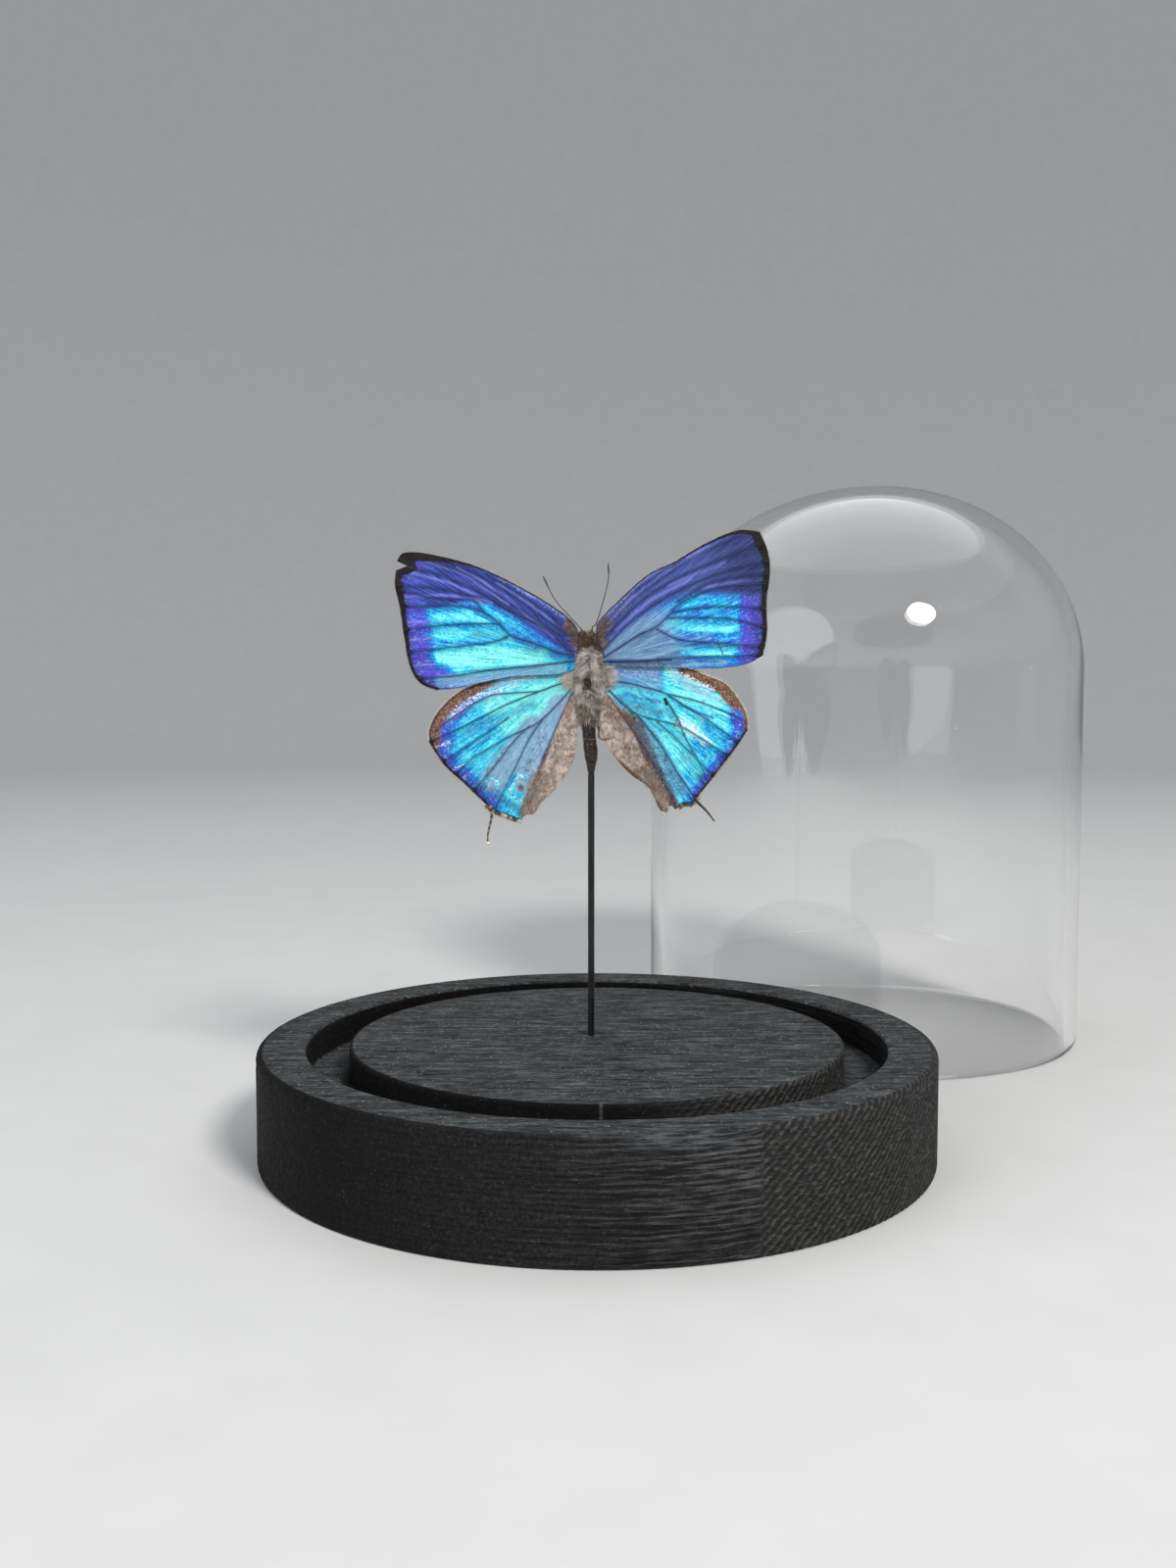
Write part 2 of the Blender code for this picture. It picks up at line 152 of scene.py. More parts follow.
# Veins: (radius at the root, radius at the end, places)
VEINS = {
    "forewing_left": (
        (0.17, 0.07, ((-2.1, 2.8), (-9.4, 2.0), (-17.3, 1.2), (-24.0, 0.1), (-30.3, -0.2))),
        (0.22, 0.10, ((-2.1, 3.5), (-5.4, 4.4), (-10.1, 6.1), (-13.7, 7.3), (-15.7, 9.4), (-18.3, 11.3))),
        (0.11, 0.06, ((-18.3, 11.3), (-20.2, 12.0), (-24.0, 12.4), (-31.8, 12.3))),
        (0.12, 0.06, ((-13.7, 7.3), (-17.0, 6.1), (-24.3, 5.2), (-32.0, 4.2))),
        (0.12, 0.06, ((-15.7, 9.3), (-20.5, 9.3), (-26.0, 9.0), (-32.3, 8.2))),
        (0.11, 0.06, ((-18.4, 11.5), (-20.5, 13.5), (-26.0, 13.7), (-32.6, 15.0))),
        (0.11, 0.06, ((-16.2, 13.5), (-20.0, 14.2), (-26.0, 15.4), (-33.0, 16.0))),
        (0.20, 0.07, ((-2.7, 4.3), (-7.7, 8.6), (-13.5, 11.6), (-18.8, 14.8), (-26.0, 17.9), (-32.2, 19.2))),
        (0.16, 0.06, ((-4.6, 7.2), (-10.1, 10.7), (-16.2, 14.6), (-21.5, 18.1), (-28.0, 20.3))),
        (0.14, 0.06, ((-3.6, 7.4), (-9.0, 11.3), (-14.5, 15.1), (-20.0, 18.3), (-25.0, 20.3))),
        (0.15, 0.07, ((-2.6, 7.2), (-7.0, 11.2), (-13.0, 15.2), (-18.0, 18.0))),
    ),
    "forewing_right": (
        (0.18, 0.07, ((2.5, 2.7), (10.3, 2.9), (18.2, 3.5), (25.9, 3.6), (30.4, 3.9))),
        (0.22, 0.10, ((2.7, 3.4), (8.6, 7.2), (12.2, 9.0), (14.6, 11.4), (15.4, 12.4))),
        (0.12, 0.06, ((15.4, 12.4), (19.3, 14.5), (23.9, 15.8), (31.2, 16.3))),
        (0.12, 0.06, ((14.6, 11.3), (19.4, 12.1), (25.0, 12.3), (31.0, 12.0))),
        (0.11, 0.06, ((13.8, 10.4), (19.4, 10.4), (25.5, 10.1), (31.0, 8.6))),
        (0.12, 0.06, ((12.0, 8.4), (16.0, 6.6), (22.0, 6.0), (31.0, 5.2))),
        (0.12, 0.06, ((15.6, 13.0), (20.4, 16.1), (25.0, 17.4), (31.4, 18.0))),
        (0.20, 0.07, ((2.4, 4.6), (7.0, 9.3), (12.0, 13.0), (17.6, 16.0), (24.0, 18.5), (31.2, 20.2))),
        (0.16, 0.06, ((2.2, 6.2), (8.0, 12.2), (13.0, 15.9), (20.3, 19.5), (30.0, 23.4))),
        (0.14, 0.06, ((2.2, 7.4), (8.0, 13.6), (14.7, 18.6), (20.3, 21.8), (26.5, 24.7))),
        (0.15, 0.07, ((2.1, 8.4), (7.0, 13.9), (12.0, 17.9), (17.0, 20.6))),
    ),
    "hindwing_left": (
        (0.17, 0.06, ((-3.2, -0.6), (-7.2, -2.0), (-14.1, -4.7), (-20.3, -7.8), (-27.8, -11.4))),
        (0.13, 0.06, ((-9.0, -2.6), (-14.1, -2.9), (-18.2, -3.6), (-24.3, -7.4), (-27.0, -9.4))),
        (0.12, 0.06, ((-14.1, -7.2), (-20.4, -11.5), (-25.6, -14.8))),
        (0.16, 0.06, ((-3.0, -2.2), (-8.6, -7.8), (-14.1, -10.6), (-20.2, -14.2), (-23.4, -17.2))),
        (0.13, 0.06, ((-10.4, -8.6), (-13.3, -11.5), (-17.6, -17.0), (-20.6, -20.4))),
        (0.13, 0.06, ((-7.6, -6.8), (-10.5, -11.0), (-13.5, -17.1), (-16.4, -23.0))),
        (0.12, 0.06, ((-3.0, -3.0), (-6.2, -10.0), (-9.4, -17.6), (-12.6, -24.4))),
    ),
    "hindwing_right": (
        (0.18, 0.10, ((3.2, -0.6), (7.0, -1.1), (12.5, -2.5), (13.8, -3.0))),
        (0.13, 0.06, ((13.8, -3.0), (19.0, -4.2), (25.3, -6.6), (27.8, -7.8))),
        (0.20, 0.08, ((13.8, -3.0), (17.9, -5.6), (22.1, -8.3), (26.4, -11.5))),
        (0.13, 0.06, ((14.0, -4.5), (15.9, -7.5), (17.1, -10.6), (19.4, -14.6), (20.8, -17.6))),
        (0.16, 0.06, ((3.6, -2.4), (8.5, -6.5), (15.9, -8.6), (20.0, -10.9), (25.2, -14.2))),
        (0.12, 0.06, ((12.1, -7.7), (16.9, -12.2), (20.8, -16.2), (22.6, -17.6))),
        (0.14, 0.06, ((8.5, -6.5), (12.5, -11.5), (15.9, -17.0), (19.1, -21.5))),
        (0.12, 0.06, ((3.6, -3.4), (8.6, -10.6), (12.6, -17.0), (15.4, -22.6))),
    ),
}
TAILS = {
    "tail_left": ((-17.4, -22.7, 0.0), (-17.2, -24.6, 0.05), (-17.6, -26.6, 0.1), (-17.9, -28.2, 0.1),
                  (-17.85, -29.8, 0.05)),
    "tail_right": ((18.7, -21.5, 0.0), (19.6, -22.4, 0.05), (21.0, -23.8, 0.1), (22.4, -25.6, 0.05)),
}

# Hair: the haired folds of the hindwings, and ways of bending (across, back, up)
LEFT_FOLD = ((-3.0, -3.5), (-4.0, -9.0), (-5.5, -14.5), (-8.0, -19.5), (-10.6, -23.2))
RIGHT_FOLD = ((3.2, -3.8), (4.8, -8.0), (7.4, -13.0), (10.0, -17.0), (12.8, -21.6))
STRAIGHT = np.zeros(3)
DROOPING = np.array((0.0, 0.0, -0.2))
PRESSED = np.array((0.0, 0.15, -0.1))


# ---------------------------------------------------------------- numbers

def rgb(red, green, blue):
    """A display colour in 0..255 as linear values."""
    values = []
    for part in (red, green, blue):
        share = part / 255.0
        values.append(share / 12.92 if share <= 0.04045 else ((share + 0.055) / 1.055) ** 2.4)
    return tuple(values)


def ease(low, high, values):
    """0 below low, 1 above high, smooth between."""
    share = np.clip((np.asarray(values, float) - low) / (high - low), 0.0, 1.0)
    return share * share * (3 - 2 * share)


def fall(distance, reach, soft):
    """1 up to reach, then down to 0 over soft."""
    return 1.0 - ease(0.0, 1.0, (distance - reach) / soft)


def smooth_line(places, pieces):
    """Points along a Catmull-Rom curve through the places, with `pieces` to each gap."""
    given = np.array(places, float)
    ends = np.vstack([2 * given[0] - given[1], given, 2 * given[-1] - given[-2]])
    line = []
    for before, start, end, after in zip(ends, ends[1:], ends[2:], ends[3:]):
        for t in np.arange(pieces) / pieces:
            line.append(0.5 * (2 * start + (end - before) * t
                               + (2 * before - 5 * start + 4 * end - after) * t ** 2
                               + (3 * start - before - 3 * end + after) * t ** 3))
    line.append(given[-1])
    return np.array(line)


def even_line(line, step):
    """The same line with points a fixed step apart, the ends kept."""
    lengths = np.r_[0.0, np.cumsum(np.linalg.norm(np.diff(line, axis=0), axis=1))]
    count = max(2, int(round(lengths[-1] / step)) + 1)
    at = np.linspace(0.0, lengths[-1], count)
    return np.stack([np.interp(at, lengths, line[:, axis]) for axis in range(line.shape[1])], 1)


def place(across, up, back):
    """World positions of points given in millimetres from the butterfly's origin."""
    across, up, back = np.broadcast_arrays(across, up, back)
    return np.stack([across, back, up], -1) * MM + np.array(ORIGIN)


def waves(points, size, seed=0.0):
    """Smooth noise in about -1..1 at each point, for features of about `size`."""
    shift = Vector((seed * 17.3, seed * 5.1, seed * 9.7))
    columns = np.asarray(points, float) / size
    if columns.shape[1] == 2:
        columns = np.column_stack([columns, np.zeros(len(columns))])
    return np.array([noise.noise(Vector(point) + shift) for point in columns])


class Spots:
    """Points on a wing and how far they lie from lines on it, in millimetres."""

    def __init__(self, across, up):
        self.across = across
        self.up = up

    def from_line(self, line):
        points = np.column_stack([self.across, self.up])
        line = np.asarray(line, float)
        best = np.full(len(points), 1e9)
        for start, end in zip(line, line[1:]):
            run = end - start
            share = np.clip((points - start) @ run / max(run @ run, 1e-9), 0.0, 1.0)
            best = np.minimum(best, np.linalg.norm(points - start - share[:, None] * run, axis=1))
        return best

    def near(self, line, reach, soft):
        return fall(self.from_line(line), reach, soft)

    def over(self, line, soft):
        """1 above the line, 0 below it; the line runs across the wing."""
        line = np.array(sorted(line))
        return ease(-soft, soft, self.up - np.interp(self.across, line[:, 0], line[:, 1]))

    def beside(self, line, soft):
        """1 to the +X side of the line, 0 on the other; the line runs down the wing."""
        line = np.array(sorted(line, key=lambda spot: spot[1]))
        return ease(-soft, soft, self.across - np.interp(self.up, line[:, 1], line[:, 0]))

    def marks(self, *rows):
        """The strongest of several strokes, each (strength, reach, softness, places...)."""
        return np.maximum.reduce([strength * self.near(places, reach, soft)
                                  for strength, reach, soft, *places in rows])

    def pull(self, glow, *rows):
        """The glow pulled towards each row's value: (value, strength, reach, softness, places...)."""
        for value, strength, reach, soft, *places in rows:
            glow = toward(glow, value, strength * self.near(places, reach, soft))
        return glow


class Value:
    """A node's output, which adds, subtracts and multiplies by making Math nodes."""

    def __init__(self, shades, socket):
        self.shades = shades
        self.socket = socket

    def __add__(self, other):
        return self.shades.math("ADD", self, other)

    def __sub__(self, other):
        return self.shades.math("SUBTRACT", self, other)

    def __mul__(self, other):
        return self.shades.math("MULTIPLY", self, other)


# ---------------------------------------------------------------- meshes

def add_mesh(name, points, faces, materials):
    mesh = bpy.data.meshes.new(name)
    mesh.from_pydata(np.asarray(points).tolist(), [], faces)
    mesh.update()
    mesh.shade_smooth()
    for material in materials:
        mesh.materials.append(material)
    made = bpy.data.objects.new(name, mesh)
    bpy.context.scene.collection.objects.link(made)
    return made


def caps(rings, steps, first=0):
    """The two end faces of a stack of rings."""
    last = first + (rings - 1) * steps
    return [tuple(range(first, first + steps))[::-1], tuple(range(last, last + steps))]


def unit(vectors):
    return vectors / np.linalg.norm(vectors, axis=1)[:, None]


def set_values(made, name, values):
    values = np.asarray(values, np.float32)
    if values.ndim == 1:
        made.data.attributes.new(name, "FLOAT", "POINT").data.foreach_set("value", values)
    else:
        made.data.attributes.new(name, "FLOAT_VECTOR", "POINT").data.foreach_set("vector", values.ravel())


def piece(made, slot, *nodes):
    """Rides on the one body and stands for the CAD nodes, which it hides. The slot is not used."""
    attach(made, "root")
    if nodes:
        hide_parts(*nodes)
    return made


def ring_faces(rows, steps, first=0):
    """Quads between rings of `steps` points that follow each other."""
    faces = []
    for row in range(rows - 1):
        low = first + row * steps
        for step in range(steps):
            after = (step + 1) % steps
            faces.append((low + step, low + after, low + steps + after, low + steps + step))
    return faces


def turned(profile, steps):
    """Rings of points for each (radius, height), in millimetres, about +Z."""
    turns = 2 * np.pi * np.arange(steps) / steps
    profile = np.asarray(profile, float)
    radius = profile[:, 0][:, None]
    rings = np.stack([radius * np.cos(turns), radius * np.sin(turns),
                      np.repeat(profile[:, 1][:, None], steps, 1)], -1)
    return rings


def tube_parts(line, radii, sides, first):
    """Points and faces of a closed round tube along a 3-D line."""
    line = np.asarray(line, float)
    radii = np.broadcast_to(radii, len(line))
    runs = unit(np.gradient(line, axis=0))
    side = unit(np.cross(runs, (0.31, 0.9, 0.29)))
    other = np.cross(runs, side)
    turns = 2 * np.pi * np.arange(sides) / sides
    rings = (line[:, None] + radii[:, None, None]
             * (np.cos(turns)[None, :, None] * side[:, None] + np.sin(turns)[None, :, None] * other[:, None]))
    return rings.reshape(-1, 3), ring_faces(len(line), sides, first) + caps(len(line), sides, first)


def tubes(name, lines, materials, sides=6):
    """One mesh of several tubes, each (line, radii)."""
    points, faces = [], []
    for line, radii in lines:
        ring, quads = tube_parts(line, radii, sides, sum(len(part) for part in points))
        points.append(ring)
        faces += quads
    return add_mesh(name, np.vstack(points), faces, materials)


def hairs(name, roots, heads, lengths, width, bend, tones, material):
    """Many tapered hairs as one mesh. They start at roots along heads and curve by bend."""
    sides = 3
    count = len(roots)
    heads = unit(heads)
    side = unit(np.cross(heads, RANDOM.normal(size=(count, 3))))
    other = np.cross(heads, side)
    turns = 2 * np.pi * np.arange(sides) / sides
    shares = (0.0, 0.4, 0.75)
    rings = []
    for share in shares:
        middle = roots + heads * (lengths * share)[:, None] + bend * (lengths * share ** 2)[:, None]
        radius = (np.broadcast_to(width, count) * (1 - share) ** 0.6)[:, None, None]
        spokes = np.cos(turns)[None, :, None] * side[:, None] + np.sin(turns)[None, :, None] * other[:, None]
        rings.append(middle[:, None] + radius * spokes)
    tips = roots + heads * lengths[:, None] + bend * lengths[:, None]
    per_hair = np.concatenate([*rings, tips[:, None]], axis=1)
    size = per_hair.shape[1]
    pattern = ring_faces(len(shares), sides)
    top = (len(shares) - 1) * sides
    pattern += [(top + step, top + (step + 1) % sides, size - 1) for step in range(sides)]
    pattern.append(tuple(reversed(range(sides))))
    faces = [tuple(hair * size + corner for corner in face) for hair in range(count) for face in pattern]
    made = add_mesh(name, per_hair.reshape(-1, 3), faces, [material])
    set_values(made, "tone", np.repeat(tones, size))
    return made


def mottled(points, size, seed, middle, swing, spread):
    """A tone for each hair: soft patches about a middle, and chance."""
    return np.clip(middle + swing * waves(points, size, seed) + RANDOM.normal(0, spread, len(points)), 0, 1)


# ---------------------------------------------------------------- materials

class Shades:
    """A Principled material and short ways to add its nodes. Colours are three linear values."""

    def __init__(self, name):
        self.material = bpy.data.materials.new(name)
        self.material.use_nodes = True
        self.tree = self.material.node_tree
        self.shader = self.tree.nodes["Principled BSDF"]
        self.place = self.node("ShaderNodeTexCoord", "Object")
        self.colour = None

    def node(self, kind, output, inputs=(), **settings):
        """A new node's output. Inputs are (name or number, value or other output)."""
        made = self.tree.nodes.new(kind)
        for name, value in settings.items():
            setattr(made, name, value)
        for name, value in inputs:
            self.feed(made.inputs[name], value)
        return Value(self, made.outputs[output])

    def feed(self, socket, value):
        if isinstance(value, Value):
            self.tree.links.new(value.socket, socket)
        elif socket.type == "RGBA":
            socket.default_value = (*value, 1.0)
        else:
            socket.default_value = value

    def set(self, **values):
        for name, value in values.items():
            self.feed(self.shader.inputs[name.replace("_", " ")], value)

    def value(self, name):
        return self.node("ShaderNodeAttribute", "Fac", attribute_name=name)

    def vector(self, name):
        return self.node("ShaderNodeAttribute", "Vector", attribute_name=name)

    def stretch(self, vector, scale):
        return self.node("ShaderNodeMapping", "Vector", (("Vector", vector), ("Scale", scale)))

    def noise(self, vector, scale, detail=2.0, roughness=0.5, distortion=0.0):
        return self.node("ShaderNodeTexNoise", "Fac", (
            ("Vector", vector), ("Scale", scale), ("Detail", detail), ("Roughness", roughness),
            ("Distortion", distortion)))

    def drawn(self, vector, scale, *settings):
        """Noise with its own scale along each axis, so that it is drawn out."""
        return self.noise(self.stretch(vector, scale), 1.0, *settings)

    def cells(self, vector, scale):
        return self.node("ShaderNodeTexVoronoi", "Distance", (("Vector", vector), ("Scale", scale)))

    def math(self, operation, first, second=0.0):
        return self.node("ShaderNodeMath", 0, ((0, first), (1, second)), operation=operation)

    def ease(self, value, low, high, start=0.0, end=1.0):
        return self.node("ShaderNodeMapRange", "Result", (
            ("Value", value), ("From Min", low), ("From Max", high), ("To Min", start), ("To Max", end)),
            interpolation_type="SMOOTHSTEP")

    def ramp(self, value, *stops):
        """A colour from (value, colour) stops."""
        made = self.node("ShaderNodeValToRGB", "Color", (("Fac", value),))
        elements = made.socket.node.color_ramp.elements
        while len(elements) < len(stops):
            elements.new(0.5)
        for element, (at, colour) in zip(elements, stops):
            element.position = at
            element.color = (*colour, 1.0)
        return made

    def mix(self, share, first, second):
        inputs = (("Factor", share), (6, first), (7, second))
        return self.node("ShaderNodeMix", 2, inputs, data_type="RGBA")

    def lay(self, share, paint):
        """Lays a paint over the colour so far."""
        self.colour = self.mix(share, self.colour, paint)

    def split(self, vector):
        made = self.node("ShaderNodeSeparateXYZ", 0, ((0, vector),))
        return [Value(self, output) for output in made.socket.node.outputs]

    def bump(self, height, distance, strength=1.0):
        inputs = (("Height", height), ("Distance", distance), ("Strength", strength))
        self.set(Normal=self.node("ShaderNodeBump", "Normal", inputs))


def stained_wood():
    """Open-grained wood under black stain. Its grain runs along X, so the wall shows scraped lines
    in front, slanting tool marks at the right and open pores at the left."""
    made = Shades("black stained wood")
    wall = made.vector("wall")
    run, height, _ = made.split(wall)
    facing = made.value("facing")
    level, along, cut, pores = [made.value(name) for name in ("level", "along", "cut", "pores")]
    grain = made.drawn(made.place, (130.0, 950.0, 400.0), 4.0, 0.74, 0.3)
    fibres = made.drawn(made.place, (900.0, 2300.0, 2400.0), 3.0, 0.75)
    lines = made.drawn(made.place, (70.0, 70.0, 1500.0), 3.0, 0.7, 0.15)
    scratches = made.drawn(made.place, (300.0, 300.0, 3600.0), 3.0, 0.7)
    wander = made.drawn(made.place, (50.0, 50.0, 300.0), 2.0) * 14.0
    ripple = made.math("SINE", height * (2 * math.pi / LINE_SPACING) + wander)
    end_grain = made.noise(made.place, 1900.0, 4.0, 0.75)
    calm = made.ease(facing, -20.0, 12.0, 0.30, 1.0)
    fine = (end_grain - 0.5) * made.ease(facing, -20.0, 12.0, 0.6, 0.15)
    scraped = (lines * 0.5 + scratches * 0.5 + ripple * 0.055 - 0.5) * calm + 0.5 + fine
    wobble = made.drawn(wall, (0.22, 0.4, 1.0), 2.0) * 5.0
    teeth = made.math("SINE", (run - height * CUT_LEAN) * (2 * math.pi / CUT_SPACING) + wobble)
    slanting = teeth * 0.09 + made.drawn(wall, (0.75, 1.5, 1.0), 3.0, 0.7)
    mixed = (grain * 0.6 + fibres * 0.4) * level + scraped * along + (slanting * cut + end_grain * pores)

    # painted shade: the walls take a darker ramp than the top
    side_in_painted_shade = made.ramp(mixed, (0.38, (0.004, 0.004, 0.0042)), (0.52, (0.017, 0.017, 0.0175)),
                          (0.60, (0.036, 0.036, 0.037)), (0.72, (0.11, 0.112, 0.115)))
    top = made.ramp(mixed, (0.40, (0.005, 0.0052, 0.0055)), (0.47, (0.030, 0.033, 0.035)),
                    (0.54, (0.056, 0.062, 0.065)), (0.62, (0.14, 0.150, 0.155)))
    made.colour = made.mix(level, side_in_painted_shade, top)
    made.lay(pores * made.ease(end_grain, 0.45, 0.62, 0.1, 0.6), (0.012, 0.0075, 0.006))
    # the cut marks' crests are painted lighter: partly worn stain, partly painted highlight
    worn = made.mix(made.ease(slanting, 0.40, 0.75), (0.022, 0.0215, 0.021), (0.074, 0.072, 0.069))
    made.lay(cut * 0.75, worn)
    # painted highlight on the scraped lines, stronger to the right of the front and higher up, where light
    # falls
    painted_scrape_highlight = along * made.ease(facing, -8.0, 22.0, 0.0, 0.6) * made.ease(height, 2.0, 12.0, 0.35, 1.0)
    made.lay(painted_scrape_highlight, made.mix(made.ease(scraped, 0.44, 0.64), (0.016, 0.016, 0.0165), (0.13, 0.134, 0.140)))
    # painted sheen: a bluish light band just below the rim, a little right of the front
    painted_sheen = made.ease(run, 2.0, 9.0) * made.ease(run, 14.0, 26.0, 1.0, 0.0)
    painted_sheen = painted_sheen * made.ease(height, BASE_HEIGHT - 3.2, BASE_HEIGHT - 1.4, 0.0, 0.55)
    made.lay(painted_sheen * made.ease(scratches, 0.42, 0.58, 0.1, 1.0) * along, (0.10, 0.115, 0.135))
    # painted shade: near black in the groove, on the disc's wall under the brim and on the left of the side
    made.lay(made.value("painted_shade"), (0.0036, 0.0027, 0.0025))

    uneven = (made.noise(made.place, 3500.0, 2.0) - 0.5) * 0.6
    sparse = made.ease(made.noise(made.place, 420.0, 3.0), 0.44, 0.58)
    specks = made.ease(made.cells(made.place, 1500.0) + uneven, 0.02, 0.18, 0.45, 0.0)
    made.lay(specks * sparse, (0.18, 0.185, 0.19))
    lint = made.cells(made.stretch(made.place, (1500.0, 650.0, 300.0)), 1.0) + uneven
    made.lay(made.ease(lint, 0.02, 0.26, 0.85, 0.0) * level * sparse, (0.36, 0.368, 0.375))
    made.lay(made.value("mark") * made.ease(scratches, 0.4, 0.6, 0.2, 0.7), (0.20, 0.20, 0.20))
    dull = made.ease(mixed, 0.40, 0.68, 0.66, 0.48)
    made.set(Base_Color=made.colour, Roughness=dull, Specular_IOR_Level=0.1)
    made.bump(mixed, 0.0011)
    return made.material


def clear_glass():
    """Clear blown glass with a few dust specks."""
    made = Shades("clear glass")
    specks = made.ease(made.cells(made.place, 260.0), 0.025, 0.045, 1.0, 0.0)
    dust = specks * made.ease(made.noise(made.place, 90.0, 1.0), 0.52, 0.58)
    made.set(Base_Color=(1.0, 1.0, 1.0), IOR=1.5, Roughness=made.ease(dust, 0.0, 1.0, 0.0, 0.5),
             Transmission_Weight=made.ease(dust, 0.0, 1.0, 1.0, 0.55))
    tint = (("Color", (0.90, 0.96, 0.95)), ("Density", 6.0))
    volume = made.node("ShaderNodeVolumeAbsorption", "Volume", tint)
    made.feed(made.tree.nodes["Material Output"].inputs["Volume"], volume)
    return made.material


def satin_black():
    made = Shades("satin black rod")
    scored = made.drawn(made.place, (5000.0, 5000.0, 150.0), 2.0)
    blotch = made.noise(made.place, 400.0, 3.0)
    made.set(Base_Color=made.ramp(blotch, (0.35, (0.004, 0.004, 0.005)), (0.7, (0.014, 0.013, 0.013))),
             Roughness=made.ease(scored, 0.3, 0.7, 0.24, 0.42), Metallic=0.35)
    made.bump(scored, 0.00003, 0.6)
    return made.material


def dark_shell(name, deep, light, roughness):
    """Smooth horny skin with uneven colour."""
    made = Shades(name)
    patches = made.noise(made.place, 900.0, 3.0, 0.6)
    grit = made.noise(made.place, 6000.0, 2.0)
    made.set(Base_Color=made.ramp(patches, (0.35, deep), (0.68, light)),
             Roughness=made.ease(grit, 0.3, 0.7, roughness - 0.08, roughness + 0.14))
    made.bump(patches + grit * 0.4, 0.00006, 0.6)
    return made.material


def hair_colours(name, *stops):
    """Hair whose colour follows each hair's own tone."""
    made = Shades(name)
    streak = made.noise(made.place, 2500.0, 2.0)
    tone = made.value("tone") + (streak - 0.5) * 0.25
    made.set(Base_Color=made.ramp(tone, *stops), Roughness=made.ease(streak, 0.3, 0.7, 0.5, 0.75),
             Sheen_Weight=0.2)
    return made.material


def wing_upper():
    """Blue structural scales. Glow runs from violet to pale cyan; other masks lay colours over it."""
    made = Shades("blue wing scales")
    flow = made.vector("flow")
    streaks = made.drawn(flow, (0.16, 1.9, 1.0), 3.0, 0.6)
    threads = made.drawn(flow, (0.15, 6.0, 1.0), 3.0, 0.65)
    patches = made.drawn(flow, (0.7, 1.7, 1.0), 4.0, 0.72, 0.6)
    crumple = made.noise(made.place, 850.0, 5.0, 0.72, 0.8)
    grain = made.noise(made.place, 3000.0, 3.0, 0.72)
    scales = made.cells(made.place, 9000.0)

    def swing(value, amount):
        return (value - 0.5) * amount

    def shade(dark, light, value=streaks):
        return made.mix(made.ease(value, 0.38, 0.62), dark, light)

    def layer(name, paint, tear, edge):
        """Lays a paint over a mask, whose edge is torn by noise."""
        mask = made.value(name)
        made.lay(made.ease(mask + tear, 0.5 - edge, 0.5 + edge) * made.ease(mask, 0.0, 0.15), paint)

    soft = swing(streaks, 0.9) + swing(threads, 0.7) + swing(crumple, 0.5)
    rough = swing(grain, 1.6) + swing(crumple, 0.9) + swing(streaks, 0.4)
    glow = made.value("glow") + swing(streaks, 0.85) + swing(threads, 0.8) + swing(crumple, 0.9)
    made.colour = made.ramp(
        glow + swing(grain, 0.6), (0.0, rgb(86, 66, 188)), (0.16, rgb(62, 82, 208)),
        (0.30, rgb(22, 106, 208)), (0.44, rgb(8, 150, 218)), (0.60, rgb(44, 196, 232)),
        (0.78, rgb(88, 224, 236)), (0.94, rgb(138, 248, 244)))
    layer("flat", shade(rgb(80, 122, 168), rgb(134, 172, 204)), soft, 0.4)
    layer("royal", shade(rgb(28, 36, 116), rgb(66, 84, 176), threads), soft, 0.3)
    made.lay(made.value("dull") * 0.6, rgb(98, 116, 158))
    made.lay(made.value("pale") * 0.7, rgb(150, 192, 216))
    layer("lavender", shade(rgb(108, 122, 190), rgb(164, 176, 222), grain), rough, 0.35)
    # painted highlight: lighter lavender along the ridges of the folds
    layer("crease", rgb(124, 130, 220), soft, 0.4)
    layer("copper", shade(rgb(62, 38, 29), rgb(158, 112, 84), grain), rough, 0.3)
    layer("taupe", shade(rgb(126, 108, 98), rgb(196, 180, 170), crumple), rough, 0.25)
    layer("umber", shade(rgb(36, 24, 19), rgb(112, 84, 66), grain), rough, 0.3)
    layer("spark", rgb(226, 232, 240), rough, 0.12)
    layer("worn", shade(rgb(18, 52, 92), rgb(74, 104, 128), grain), rough, 0.2)
    blue, mosaic = made.value("sheen"), made.value("mosaic")
    # painted shade: dark streaks along the flow for the furrows between the pleats
    made.lay(made.ease(threads, 0.30, 0.46, 0.6, 0.0) * blue, rgb(12, 28, 86))
    made.lay(made.ease(grain, 0.30, 0.42, 0.5, 0.0) * blue, rgb(14, 46, 104))
    # painted glints: pale cyan flecks on the blue, fewer on the royal
    painted_glint_area = blue * made.ease(made.value("royal"), 0.0, 0.8, 1.0, 0.3)
    made.lay(made.ease(grain, 0.57, 0.68, 0.0, 0.5) * painted_glint_area, rgb(176, 236, 246))
    made.lay(made.ease(patches, 0.34, 0.45, 0.55, 0.0) * mosaic, rgb(18, 72, 140))
    made.lay(made.ease(patches, 0.55, 0.66, 0.0, 0.6) * mosaic, rgb(158, 232, 242))
    made.lay(made.value("deep") * 0.8, rgb(14, 14, 44))
    # painted shade: the vein mask darkens each vein's line and, wider, the scales beside it
    made.lay(made.value("vein") * made.ease(grain, 0.3, 0.7, 0.45, 0.9), rgb(10, 30, 78))
    layer("black", shade(rgb(7, 5, 7), rgb(32, 22, 20), grain), rough, 0.2)
    made.set(Base_Color=made.colour, Metallic=blue * 0.35, Specular_IOR_Level=0.3,
             Roughness=made.ease(scales, 0.0, 0.7, 0.34, 0.52))
    made.bump(streaks * 0.8 + threads * 0.6 + crumple * 0.9 + scales * 0.2, 0.0003, 0.8)
    return made.material


